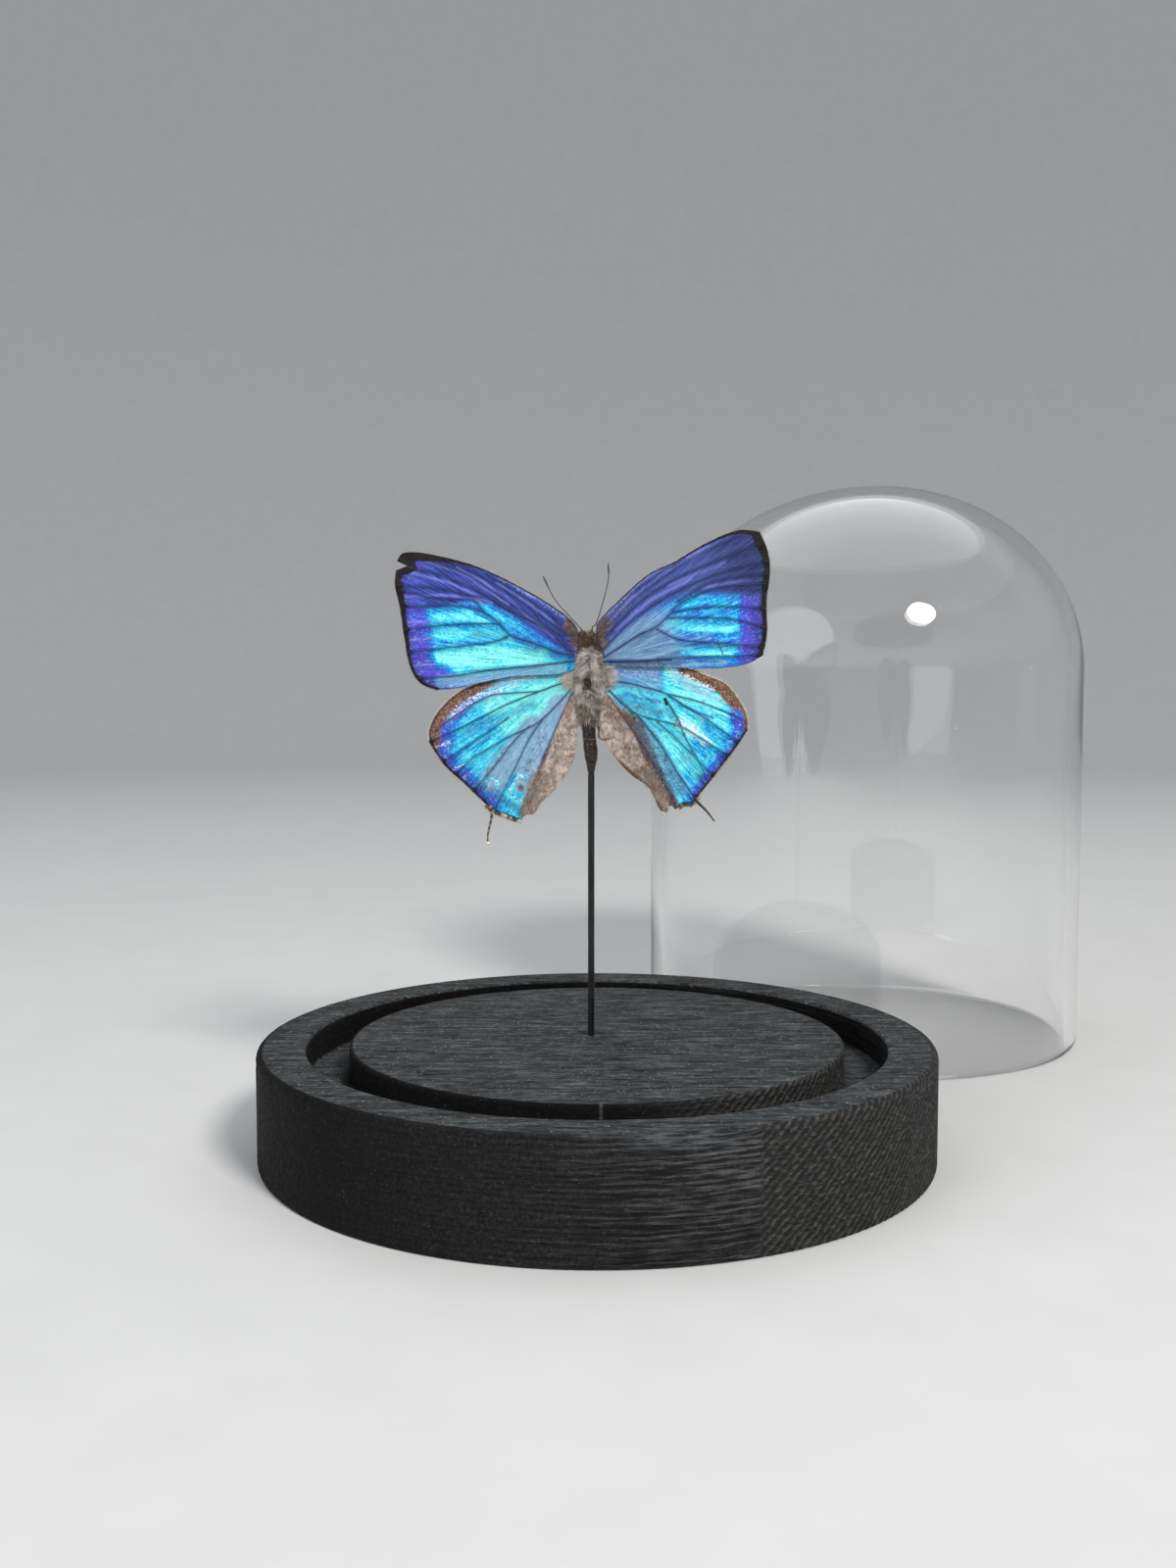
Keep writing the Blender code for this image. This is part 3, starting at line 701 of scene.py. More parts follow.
def wing_under():
    """The unseen side: brown with darker bars edged in buff, a guess from the kind of butterfly."""
    made = Shades("brown wing underside")
    flow = made.vector("flow")
    blots = made.noise(made.place, 700.0, 3.0, 0.6)
    wobble = (made.noise(made.place, 260.0, 2.0) - 0.5) * 5.0
    bars = made.math("SINE", (made.split(flow)[0] + wobble) * 1.25)
    broken = made.ease(made.drawn(flow, (0.12, 0.55, 1.0), 1.0), 0.38, 0.5)
    made.colour = made.ramp(blots, (0.3, rgb(104, 82, 62)), (0.7, rgb(146, 122, 98)))
    made.lay(made.ease(bars, -0.02, 0.16) * broken, rgb(188, 170, 144))
    made.lay(made.ease(bars, 0.25, 0.5) * broken, rgb(72, 52, 40))
    # the vein mask here too: each vein's line and painted shade beside it
    made.lay(made.value("vein"), rgb(84, 62, 46))
    made.set(Base_Color=made.colour, Roughness=made.ease(blots, 0.3, 0.7, 0.6, 0.8))
    made.bump(blots + made.cells(made.place, 9000.0), 0.00008, 0.5)
    return made.material


def vein_skin():
    made = Shades("dark wing veins")
    grit = made.noise(made.place, 3500.0, 3.0, 0.6)
    made.colour = made.ramp(grit, (0.38, rgb(12, 26, 62)), (0.66, rgb(36, 78, 134)))
    made.lay(made.value("brown"), made.ramp(grit, (0.38, rgb(34, 24, 20)), (0.66, rgb(92, 68, 54))))
    made.set(Base_Color=made.colour, Roughness=made.ease(grit, 0.3, 0.7, 0.36, 0.55))
    made.bump(grit, 0.00005, 0.6)
    return made.material


def eye_skin():
    """Dark compound eyes with fine facets."""
    made = Shades("dark eyes")
    facets = made.cells(made.place, 12000.0)
    patches = made.noise(made.place, 1500.0, 2.0)
    made.set(Base_Color=made.ramp(patches, (0.35, rgb(34, 16, 12)), (0.7, rgb(86, 42, 28))),
             Roughness=made.ease(facets, 0.0, 0.7, 0.2, 0.4))
    made.bump(facets, 0.00003, 0.5)
    return made.material


def pale_stage():
    made = Shades("pale floor")
    soft = made.noise(made.place, 60.0, 3.0)
    made.set(Base_Color=made.ramp(soft, (0.3, (0.60, 0.60, 0.595)), (0.7, (0.62, 0.62, 0.615))),
             Roughness=made.ease(soft, 0.3, 0.7, 0.75, 0.85), Specular_IOR_Level=0.15)
    return made.material


# ---------------------------------------------------------------- base, dome, rod

def span(start, end, rows):
    """Profile points from start up to, but without, end."""
    return [tuple(np.array(start) + (np.array(end) - np.array(start)) * row / rows) for row in range(rows)]


def corner(start, middle, end, rows):
    """A rounded corner from start to end with middle as its sharp point."""
    start, middle, end = (np.array(point, float) for point in (start, middle, end))
    points = []
    for row in range(rows):
        t = row / rows
        points.append(tuple((1 - t) ** 2 * start + 2 * t * (1 - t) * middle + t * t * end))
    return points


def scraped_lines(run, height, seed):
    """Depth of the long lines along the wall, in 0..1: close, uneven and broken."""
    wander = 0.7 * waves(np.column_stack([run / 16.0, height / 3.5]), 1.0, seed)
    lines = 0.5 + 0.5 * np.sin(2 * np.pi * (height / LINE_SPACING + wander))
    strength = 0.55 + 0.45 * waves(np.column_stack([run / 9.0, height / 0.9]), 1.0, seed + 3)
    return lines * np.clip(strength, 0.0, 1.0)


def cutter_marks(run, height, seed):
    """Depth of slanting tool marks, in 0..1: they climb to the right."""
    wobble = 0.3 * waves(np.column_stack([run / 4.0, height / 3.0]), 1.0, seed)
    strength = 0.65 + 0.45 * waves(np.column_stack([run / 2.2, height / 1.3]), 1.0, seed + 5)
    phase = (run - CUT_LEAN * height) / CUT_SPACING + wobble
    return (0.5 + 0.5 * np.sin(2 * np.pi * phase)) * np.clip(strength, 0.0, 1.0)


def open_pores(points, seed):
    """Depth of end grain's open pores, in 0..1."""
    return np.clip(0.5 + 0.9 * waves(points, 0.9, seed), 0.0, 1.0)


def wall_shares(turn, kinds):
    """How much of each kind of mark a point has, and how much painted shade, by degrees to the right of the
    front.
    """
    side = np.isin(kinds, ("foot", "side", "rim"))[:, None]
    disc = np.isin(kinds, ("disc", "brim"))[:, None]
    groove = (kinds == "wall")[:, None]
    side_cut = ease(CUT_START - 0.4, CUT_START + 0.4, turn) * (1 - ease(125, 145, turn))
    side_pores = (1 - ease(-62, -34, turn)) * ease(-150, -125, turn)
    disc_cut = ease(4, 34, turn) * (1 - ease(120, 140, turn))
    cut = side * side_cut + disc * disc_cut
    pores = side * side_pores + disc * (1 - disc_cut) * 0.6
    along = np.clip((side + disc + groove) - cut - pores, 0.0, 1.0)
    level = 1.0 - np.clip(side + disc + groove, 0.0, 1.0) + 0 * turn
    mark = disc * np.exp(-((turn - 0.6) / 0.22) ** 2)
    # painted shade: darker towards the back of the groove, on the disc's wall and on the left of the side
    away = ease(60, 100, np.abs(turn + 25))
    left_painted_shade = 0.92 * (1 - ease(-52, -4, turn)) * ease(-170, -110, turn)
    painted_shade = groove * (0.3 + 0.6 * away) + disc * 0.75 * (1 - disc_cut) + side * left_painted_shade
    return {"cut": cut, "pores": pores, "along": along, "level": level, "mark": mark, "painted_shade": painted_shade}


def make_base(material):
    radius, top, floor = BASE_RADIUS, BASE_HEIGHT, BASE_HEIGHT - GROOVE_DEPTH
    edge = 0.7
    sections = {
        "under": [(0.4, 0.0)] + span((radius / 2, 0.0), (radius - edge, 0.0), 2),
        "foot": corner((radius - edge, 0.0), (radius, 0.0), (radius, edge), 3),
        "side": span((radius, edge), (radius, top - RIM_SOFTNESS), 60),
        "rim": corner((radius, top - RIM_SOFTNESS), (radius, top), (radius - RIM_SOFTNESS, top), 6),
        "ring": span((radius - RIM_SOFTNESS, top), (GROOVE_OUTER + edge, top), 6),
        "lip": corner((GROOVE_OUTER + edge, top), (GROOVE_OUTER, top), (GROOVE_OUTER, top - edge), 3),
        "wall": span((GROOVE_OUTER, top - edge), (GROOVE_OUTER, floor), 8),
        "floor": span((GROOVE_OUTER, floor), (GROOVE_INNER, floor), 4),
        "disc": span((GROOVE_INNER, floor), (GROOVE_INNER, top - edge), 14),
        "brim": corner((GROOVE_INNER, top - edge), (GROOVE_INNER, top), (GROOVE_INNER - edge, top), 4),
        "face": span((GROOVE_INNER - edge, top), (ROD_HOLE_RADIUS, top), 14),
        "hole": [(ROD_HOLE_RADIUS, top), (ROD_HOLE_RADIUS, top - 3.0), (0.1, top - 3.0)],
    }
    profile = [point for points in sections.values() for point in points]
    kinds = np.repeat(list(sections), [len(points) for points in sections.values()])
    rings = turned(profile, BASE_STEPS)
    radii = np.hypot(rings[:, :, 0], rings[:, :, 1])
    turn = np.degrees(np.arctan2(rings[:, :, 0], -rings[:, :, 1]))
    run = np.radians(turn) * np.array(profile)[:, :1]
    height = rings[:, :, 2].copy()
    shares = wall_shares(turn, kinds)
    scraped = scraped_lines(run.ravel(), height.ravel(), 1.0).reshape(turn.shape)
    slanting = cutter_marks(run.ravel(), height.ravel(), 2.0).reshape(turn.shape)
    pores = open_pores(rings.reshape(-1, 3), 4.0).reshape(turn.shape)
    unbroken = 1 - ease(162, 177, np.abs(turn))
    depth = (0.08 + 0.09 * ease(-15, 6, turn)) * unbroken * shares["along"] * scraped
    depth += 0.18 * shares["cut"] * slanting
    depth += 0.13 * shares["pores"] * pores
    rings[:, :, :2] *= (1.0 - depth / np.maximum(radii, 1.0))[:, :, None]
    dents = 0.05 + 0.05 * waves(rings.reshape(-1, 3), 9.0).reshape(turn.shape).clip(-1, 1)
    rings[:, :, 2] -= dents * np.isin(kinds, ("ring", "face", "lip"))[:, None]
    faces = ring_faces(len(profile), BASE_STEPS) + caps(len(profile), BASE_STEPS)
    made = add_mesh("base_wood", rings.reshape(-1, 3) * MM, faces, [material])
    for name, values in shares.items():
        set_values(made, name, values.ravel())
    set_values(made, "wall", np.stack([run, height, 0 * run], -1).reshape(-1, 3))
    # run jumps at the back, so the colours follow one that has come back to the left's by there
    behind = ease(120, 179, np.abs(turn))
    set_values(made, "facing", (run * (1 - behind) - 30.0 * behind).ravel())
    piece(made, "base_wood", "base")


def make_dome(material):
    steps, crown_rows = 192, 40
    inner_radius = DOME_RADIUS - DOME_WALL

    def crown(radius, height, top):
        turns = np.pi / 2 * (np.arange(crown_rows) + 0.25) / crown_rows
        return [(radius * math.sin(t), top - height * (1 - math.cos(t))) for t in turns]

    outer = crown(DOME_RADIUS, CROWN_HEIGHT, DOME_HEIGHT)
    inner = crown(inner_radius, CROWN_HEIGHT - DOME_WALL, DOME_HEIGHT - DOME_WALL)
    shoulder = DOME_HEIGHT - CROWN_HEIGHT
    outer += span((DOME_RADIUS, shoulder), (DOME_RADIUS, RIM_ROUNDING), 12)
    outer += corner((DOME_RADIUS, RIM_ROUNDING), (DOME_RADIUS, 0.0), (DOME_RADIUS - RIM_ROUNDING, 0.0), 9)
    outer += corner((inner_radius + RIM_ROUNDING, 0.0), (inner_radius, 0.0), (inner_radius, RIM_ROUNDING), 9)
    profile = outer + span((inner_radius, RIM_ROUNDING), (inner_radius, shoulder), 12)
    profile += [(inner_radius, shoulder)] + inner[::-1]
    flat = turned(profile, steps).reshape(-1, 3)
    inner_side = np.repeat(np.arange(len(profile)) >= len(outer), steps)
    uneven = 0.18 * waves(flat, 26.0, 2.0) * inner_side * ease(3.0, 12.0, flat[:, 2])
    flat[:, :2] *= (1.0 - uneven / DOME_RADIUS)[:, None]
    climb = np.clip(flat[:, 2] - shoulder, 0.0, None) / CROWN_HEIGHT
    flat[:, 0] += CROWN_SHIFT * climb ** 2
    points = flat * MM + np.array((DOME_CENTRE.x, DOME_CENTRE.y, 0.0))
    faces = [face[::-1] for face in ring_faces(len(profile), steps) + caps(len(profile), steps)]
    piece(add_mesh("dome_glass", points, faces, [material]), "dome_glass", "glass_dome")


def make_rod(material):
    low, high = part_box("rod")
    middle = (low + high) / 2
    radius = (high.x - low.x) / 2 / MM
    length = (high.z - low.z) / MM
    neck = length - 3.9
    profile = [(0.01, 0.0), (radius * 0.9, 0.0), (radius, 0.15)]
    profile += span((radius, 0.6), (radius, neck - 1.6), 60)
    profile += [(radius, neck - 1.4), (radius * 0.93, neck - 1.0), (radius * 0.62, neck - 0.2),
                (0.3, neck), (0.3, length - 0.3), (0.01, length)]
    rings = turned(profile, 24)
    flat = rings.reshape(-1, 3)
    flat[:, :2] *= (1.0 - 0.03 * (1 + waves(flat, 1.6, 3.0)))[:, None]
    points = flat * MM + np.array((middle.x, middle.y, low.z))
    piece(add_mesh("rod_metal", points, ring_faces(len(profile), 24), [material]), "rod_metal", "rod")


# ---------------------------------------------------------------- wings

def outline_of(wing):
    """The wing's outline as even points, slightly ragged, in order."""
    edges = [places for name, places in WINGS[wing].items() if name != "back"]
    line = []
    for places in edges:
        smooth = np.array(places) if len(places) <= 3 else smooth_line(places, 8)
        line.append(even_line(smooth, 0.16)[:-1])
    line.append(even_line(np.array([edges[-1][-1], edges[0][0]]), 0.16)[:-1])
    line = np.vstack(line)
    rough = waves(line, 0.8, 11.0)[:, None] * 0.07
    return line + unit(line.mean(0) - line) * rough


def around(outline):
    """The outline closed, as a line for distances."""
    return np.vstack([outline, outline[:1]])


def inside(outline, points):
    """Which points lie inside the outline."""
    found = np.zeros(len(points), bool)
    x, y = points[:, 0], points[:, 1]
    for start, end in zip(outline, np.roll(outline, -1, axis=0)):
        crosses = (start[1] > y) != (end[1] > y)
        with np.errstate(divide="ignore", invalid="ignore"):
            at = start[0] + (y - start[1]) * (end[0] - start[0]) / (end[1] - start[1])
        found ^= crosses & (x < at)
    return found


def wing_grid(outline):
    """Even staggered points inside the outline."""
    low, high = outline.min(0), outline.max(0)
    rows = int((high[1] - low[1]) / (GRID * 0.866)) + 1
    columns = int((high[0] - low[0]) / GRID) + 2
    column, row = np.meshgrid(np.arange(columns), np.arange(rows))
    across = low[0] + (column + 0.5 * (row % 2)) * GRID
    up = low[1] + row * GRID * 0.866
    points = np.column_stack([across.ravel(), up.ravel()])
    points = points[inside(outline, points)]
    return points[Spots(points[:, 0], points[:, 1]).from_line(around(outline)) > 0.5 * GRID]


def edge_distance(wing, spots, *names):
    best = np.full(len(spots.across), 1e9)
    for name in names:
        if name in WINGS[wing]:
            best = np.minimum(best, spots.from_line(smooth_line(WINGS[wing][name], 6)))
    return best


def relief(wing, spots):
    """How far the sheet lies back from its plane, in mm: veins proud, pleats between, soft waves."""
    to_vein = vein_distance(wing, spots)
    outer = edge_distance(wing, spots, "outer", "notch", "lower")
    points = np.column_stack([spots.across, spots.up])
    from_root = np.hypot(spots.across, spots.up - 2.0)
    pleat = 0.20 * ease(0.0, 1.5, to_vein) - 0.05 * np.exp(-(to_vein / 0.22) ** 2)
    crumple = 0.10 if wing.startswith("hind") else 0.05
    ripple = 0.18 * waves(points, 6.0, 3.0) + crumple * waves(points, 1.5, 4.0)
    ripple += 0.5 * crumple * waves(points, 0.7, 5.0)
    curl = 0.22 * fall(outer, 0.2, 2.6) * waves(points, 3.2, 6.0)
    return pleat * ease(2.0, 9.0, from_root) + (ripple + curl) * ease(2.0, 12.0, from_root)


def sheet_depth(wing, spots):
    lean = WING_RISE * (np.abs(spots.across) - WING_HINGE)
    return WINGS[wing]["back"] - lean + relief(wing, spots)


def vein_distance(wing, spots):
    return np.minimum.reduce([spots.from_line(smooth_line(places, 8)) for _, _, places in VEINS[wing]])


def depth_at(wing, points):
    """How far back the middle of a wing's sheet lies at some points."""
    return sheet_depth(wing, Spots(points[:, 0], points[:, 1]))


def caps(rings, steps, first=0):
    """The two end faces of a stack of rings."""
    last = first + (rings - 1) * steps
    return [tuple(range(first, first + steps))[::-1], tuple(range(last, last + steps))]


def toward(glow, value, mask):
    """Pulls the glow to a value where the mask is 1."""
    return glow + (value - glow) * mask


def strokes(spots, lines, reach, soft):
    """1 on any of the lines, fading to the sides."""
    return np.maximum.reduce([spots.near(line, reach, soft) for line in lines])


def dark_margin(wing, spots, reach, soft, *edges):
    """The black border: wider by a tooth at the end of each vein."""
    tooth = 0.55 * np.exp(-(vein_distance(wing, spots) / 0.35) ** 2)
    return fall(edge_distance(wing, spots, *edges), reach + tooth, soft)


def paint_forewing_left(wing, spots):
    outer = edge_distance(wing, spots, "outer", "notch")
    costa = edge_distance(wing, spots, "costa")
    inner = edge_distance(wing, spots, "inner")
    up, side = spots.up, -spots.across
    reach = 0.1 + 0.3 * ease(2, 8, up) + 0.3 * ease(9, 15, up) + 0.5 * ease(16.5, 20, up)
    costal = np.interp(spots.across, (-33, -27, -23.5, -18, -2), (1.5, 0.9, 0.3, -0.05, -0.1))
    black = np.maximum.reduce([dark_margin(wing, spots, reach, 0.7, "outer", "notch"),
                               fall(costa, costal, 0.6), fall(inner, -0.1, 0.4) * 0.9])
    border = ((-2, 3.0), (-3.6, 4.2), (-8.5, 7.4), (-13.4, 10.8), (-17.5, 12.8), (-21.3, 13.2),
              (-26.4, 12.0), (-34, 11.4))
    glow = spots.pull(
        0.45,
        (0.78, 1.0, 0.1, 1.5, (-26.6, 10.3), (-21, 10.7), (-17, 9.7)),
        (0.72, 1.0, 0.1, 1.7, (-26.8, 7.2), (-18, 7.6), (-14, 6.7)),
        (0.98, 1.0, 0.6, 2.4, (-27.0, 2.4), (-17, 3.6), (-8, 3.2)),
        (0.86, 0.8, 0.1, 1.5, (-9, 3.2), (-3.0, 2.7)),
        (0.74, 0.8, 0.1, 1.4, (-26, 0.6), (-12, 1.2)),
        (0.38, 0.8, 0.8, 1.2, (-9, 6.0), (-13.6, 9.0), (-18.5, 12.0)),
        (0.70, 0.7, 0.1, 0.5, (-9.5, 6.6), (-14.0, 9.8), (-19.0, 12.6)))
    glow = toward(glow, 0.30, fall(outer, 3.9, 1.4) * 0.9)
    glow = toward(glow, 0.02, fall(outer, 2.6, 2.2))
    glow = spots.pull(glow, (0.28, 0.85, 0.8, 2.6, (-1, 3.4), (-5, 5.0)))
    royal = spots.over(border, 0.9) * (1 - 0.4 * fall(outer, 3.0, 4.0))
    folds = (((-31, 18.2), (-24, 16.4), (-17, 12.9)), ((-28.5, 20.2), (-22, 18.0), (-14, 12.7)),
             ((-23, 19.0), (-18, 16.4), (-11, 11.0), (-6, 7.0)), ((-32, 14.0), (-25, 14.3), (-19, 13.2)),
             ((-16, 16.4), (-11, 13.2), (-6, 9.4)), ((-31.5, 9.6), (-27.6, 9.8)),
             ((-31.3, 6.4), (-27.4, 6.8)), ((-30.6, 2.0), (-27.4, 2.2)))
    pale = spots.near(((-26, -0.8), (-15, 0.2), (-5, 1.6)), 0.5, 1.0)
    lavender = spots.marks((0.45, 0.5, 0.8, (-10, -0.1), (-24, -1.2)))
    umber = spots.marks((0.62, 0.2, 1.8, (-1.6, 6.4), (-3.2, 9.6)))
    worn = spots.marks((0.46, 0.1, 1.6, (-20, 7.6), (-14.5, 6.9)), (0.44, 0.2, 1.6, (-11, 4.8), (-5, 3.6)),
                       (0.42, 0.1, 1.0, (-22, 0.9), (-8, 1.6)), (0.36, 0.1, 1.2, (-27.4, 10), (-28.4, 1)))
    deep = spots.over(border, 1.2) * fall(costa, 0.2, 2.6) * ease(15, 24, side) * 0.5
    return {"black": black, "glow": toward(glow, 0.56, pale * 0.8), "royal": royal,
            "lavender": np.maximum(lavender, fall(costa, 0.4, 0.8) * (1 - ease(12, 20, side)) * 0.5),
            "umber": umber, "crease": strokes(spots, folds, 0.0, 0.6) * 0.62, "worn": worn,
            "deep": np.maximum(fall(outer, 0.4, 1.8) * 0.4, deep), "pale": pale * 0.8,
            "mosaic": (1 - royal) * (1 - umber) * 0.35, "sheen": 1 - umber}


def paint_forewing_right(wing, spots):
    outer = edge_distance(wing, spots, "outer")
    costa = edge_distance(wing, spots, "costa")
    inner = edge_distance(wing, spots, "inner")
    up, side = spots.up, spots.across
    reach = 0.4 + 0.2 * ease(8, 16, up) + 0.5 * ease(19, 23, up)
    costal = np.interp(side, (2, 14, 24, 30), (-0.1, -0.05, 0.15, 0.7))
    black = np.maximum.reduce([dark_margin(wing, spots, reach, 0.7, "outer"),
                               fall(costa, costal, 0.6), fall(inner, -0.1, 0.35) * 0.9])
    border = ((2.5, 5.2), (8, 9.6), (13, 13.0), (17, 14.4), (22, 14.8), (27, 14.4), (33, 14.0))
    glow = spots.pull(
        0.36,
        (0.48, 1.0, 0.5, 1.8, (16.5, 12.4), (20, 12.9), (25.0, 12.4)),
        (0.42, 1.0, 0.8, 1.6, (16, 10.6), (25.0, 10.6)),
        (0.72, 1.0, 0.0, 1.3, (13.5, 9.3), (19, 8.6), (26, 8.6)),
        (0.90, 0.9, 0.0, 0.7, (17, 8.4), (25, 8.3)),
        (0.66, 0.7, 0.0, 0.6, (15.6, 12.2), (18.5, 12.9), (22, 13.2)),
        (0.70, 1.0, 0.1, 1.1, (16.4, 4.4), (21, 4.2), (25.5, 4.5)),
        (0.92, 0.8, 0.0, 0.6, (19, 3.9), (25, 4.1)),
        (0.37, 0.8, 0.2, 1.3, (14, 6.9), (27, 6.6)))
    glow = toward(glow, 0.24, fall(outer, 3.4, 1.8))
    glow = toward(glow, 0.02, fall(outer, 2.6, 2.4))
    lower_edge = spots.near(((2, 2.7), (9, 2.7), (14.5, 3.0)), 0.05, 0.45)
    royal = np.maximum(spots.over(border, 1.4) * 0.96, lower_edge)
    flat = (1 - ease(8.0, 20.0, side + 0.5 * (up - 9.0))) * (1 - royal)
    dull = spots.marks((0.4, 0.2, 1.6, (13, 6.9), (21, 6.9)), (0.45, 0.1, 1.0, (10, 2.2), (24, 2.4)))
    flat = np.maximum(flat, dull)
    folds = (((3, 9.4), (8, 14.6)), ((7, 13.0), (14, 18.6), (20, 21.6)), ((5, 8.4), (11, 13.6), (18, 17.2)),
             ((11, 17.2), (21, 22.8)), ((14, 16.0), (24, 20.0)), ((20, 15.6), (28, 16.9)),
           ((4, 6.6), (9, 10.8)))
    lavender = spots.marks((0.55, 0.3, 1.2, (3, 8.8), (8, 14.8)))
    umber = spots.marks((0.62, 0.2, 1.8, (1.6, 6.4), (2.6, 10.2)))
    worn = spots.marks((0.56, 0.2, 0.8, (4, 2.3), (16, 2.3)), (0.5, 0.1, 0.9, (12, 3.0), (16, 4.4)),
                       (0.4, 0.1, 0.9, (16, 5.6), (26, 5.2)), (0.7, 0.02, 0.35, (22.8, 5.9), (23.6, 4.0)))
    deep = spots.over(border, 1.0) * ease(16, 30, side) * 0.8
    return {"black": black, "glow": glow, "flat": flat, "royal": royal,
            "lavender": np.maximum(lavender, fall(costa, 0.3, 0.8) * (1 - ease(16, 24, side)) * 0.5),
            "umber": umber, "worn": worn, "deep": np.maximum(fall(outer, 0.8, 2.6) * 0.6, deep),
            "crease": strokes(spots, folds, 0.0, 0.7) * 0.6, "dull": royal * 0.55 + flat * 0.1,
            "pale": flat * 0.1, "mosaic": (1 - royal) * (1 - umber) * 0.35,
            "sheen": 1 - np.maximum(umber, flat * 0.45)}


def paint_hindwing_left(wing, spots):
    outer = edge_distance(wing, spots, "outer")
    lower = edge_distance(wing, spots, "lower")
    costa = edge_distance(wing, spots, "costa")
    up, side = spots.up, -spots.across
    border = ((-3.0, -2.0), (-4.7, -6.8), (-6.3, -10.8), (-7.7, -14.0), (-9.0, -17.4), (-10.6, -21.0),
              (-12.0, -24.8))
    fold = spots.beside(border, 0.6)
    far = ease(13, 19, side)
    copper = fall(costa, 0.7 + 0.6 * ease(17, 22, side), 1.5) * far * 0.9
    black = np.maximum.reduce([dark_margin(wing, spots, 0.0, 0.6, "outer"), fall(lower, -0.05, 0.5) * 0.9,
                               fall(costa, -0.05, 0.3) * far * 0.9])
    glow = spots.pull(
        0.70,
        (0.98, 1.0, 0.5, 2.0, (-5, -1.6), (-12, -3.6), (-17, -5.4)),
        (0.96, 0.9, 0.3, 1.6, (-4.0, -3.2), (-9, -6.4), (-15, -9.0)),
        (0.80, 0.8, 0.4, 1.2, (-6, 0.3), (-12, -0.6), (-16, -1.6)),
        (0.52, 0.9, 1.0, 2.6, (-18, -8.8), (-23, -11.6)),
        (0.70, 0.8, 0.3, 1.3, (-13, -10.4), (-21.0, -16.2)),
        (0.56, 1.0, 0.7, 1.4, (-17.5, -21.0), (-14.0, -23.6)))
    glow = toward(glow, 0.38, fall(outer, 1.6, 3.0) * 0.85)
    glow = toward(glow, 0.12, fall(outer, 0.6, 2.2) * 0.95)
    glow = toward(glow, 0.16, fall(costa, 2.8, 2.6) * ease(17, 23, side) * 0.95)
    spot = np.hypot(spots.across + 12.0, up + 19.6)
    ring = np.exp(-((spot - 2.1) / 0.55) ** 2) * (1 - fold)
    swirl = np.hypot(spots.across + 17.2, up + 19.2)
    arc = np.exp(-((swirl - 1.2) / 0.4) ** 2) * ease(-20.0, -19.0, up)
    glow = toward(glow, 0.52, ring * 0.7)
    glow = toward(glow, 0.82, np.maximum(arc, np.exp(-((spot - 2.6) / 0.3) ** 2)) * 0.45)
    flat = spots.marks((1.0, 1.4, 1.8, (-9.5, -9.2), (-16.6, -18.0)),
                       (1.0, 1.2, 1.4, (-5.0, -5.0), (-7.6, -9.0), (-11.4, -18.5)))
    flat = flat * (1 - ring) * (1 - arc) * (1 - fall(lower, 1.0, 1.6))
    lavender = spots.marks((0.5, 0.2, 1.0, (-5, 0.6), (-11, -0.2), (-16, -1.4)),
                           (0.52, 0.2, 1.1, (-16, -2.6), (-21, -4.6), (-25, -7.8)),
                           (0.5, 0.2, 1.2, (-7.6, -10.5), (-10.4, -19.5)))
    spark = spots.marks(
        (0.46, 0.2, 1.1, (-13, -1.5), (-19.0, -3.2), (-24.0, -6.4)), (0.42, 0.1, 0.8, (-7, 0.3), (-15, -0.6)),
        (0.42, 0.1, 0.8, (-8.2, -9.5), (-10.6, -17.5)), (0.5, 0.0, 0.7, (-27.0, -12.4), (-24.6, -11.6)),
        (0.5, 0.0, 0.6, (-24.0, -16.4), (-21.6, -15.4)), (0.45, 0.0, 0.6, (-22.4, -17.8), (-20.4, -16.6)))
    worn = spots.marks(
        (0.44, 0.3, 1.6, (-8.2, -10.5), (-11.2, -17.0)), (0.42, 0.2, 2.4, (-15, -12.5), (-19, -18.5)),
        (0.42, 0.2, 1.8, (-10, -5.0), (-21, -9.5)), (0.46, 0.4, 1.4, (-19, -19.0), (-13, -23.0)))
    umber = np.maximum.reduce([fall(spot, 0.2, 0.9) * 0.75, fold * (1 - ease(-24.0, -18.0, up)) * 0.48,
                               spots.near(border, 0.1, 0.7) * (1 - ease(-14, -8, up)) * 0.62])
    return {"black": black, "glow": glow, "flat": flat, "lavender": lavender, "copper": copper,
            "spark": np.maximum(spark, np.maximum(ring, arc) * 0.42), "worn": worn * (1 - ring),
            "umber": umber, "taupe": fold,
            "deep": np.maximum(fall(outer, 0.3, 1.8) * 0.5, copper * fall(costa, 0.1, 0.9) * 0.7),
            "dull": (1 - fold) * 0.05, "pale": flat * 0.75 + lavender * 0.3,
            "mosaic": (1 - fold) * (1 - copper) * (1 - umber) * 0.7,
            "sheen": 1 - np.maximum.reduce([fold, copper * 0.8, umber, flat * 0.4])}


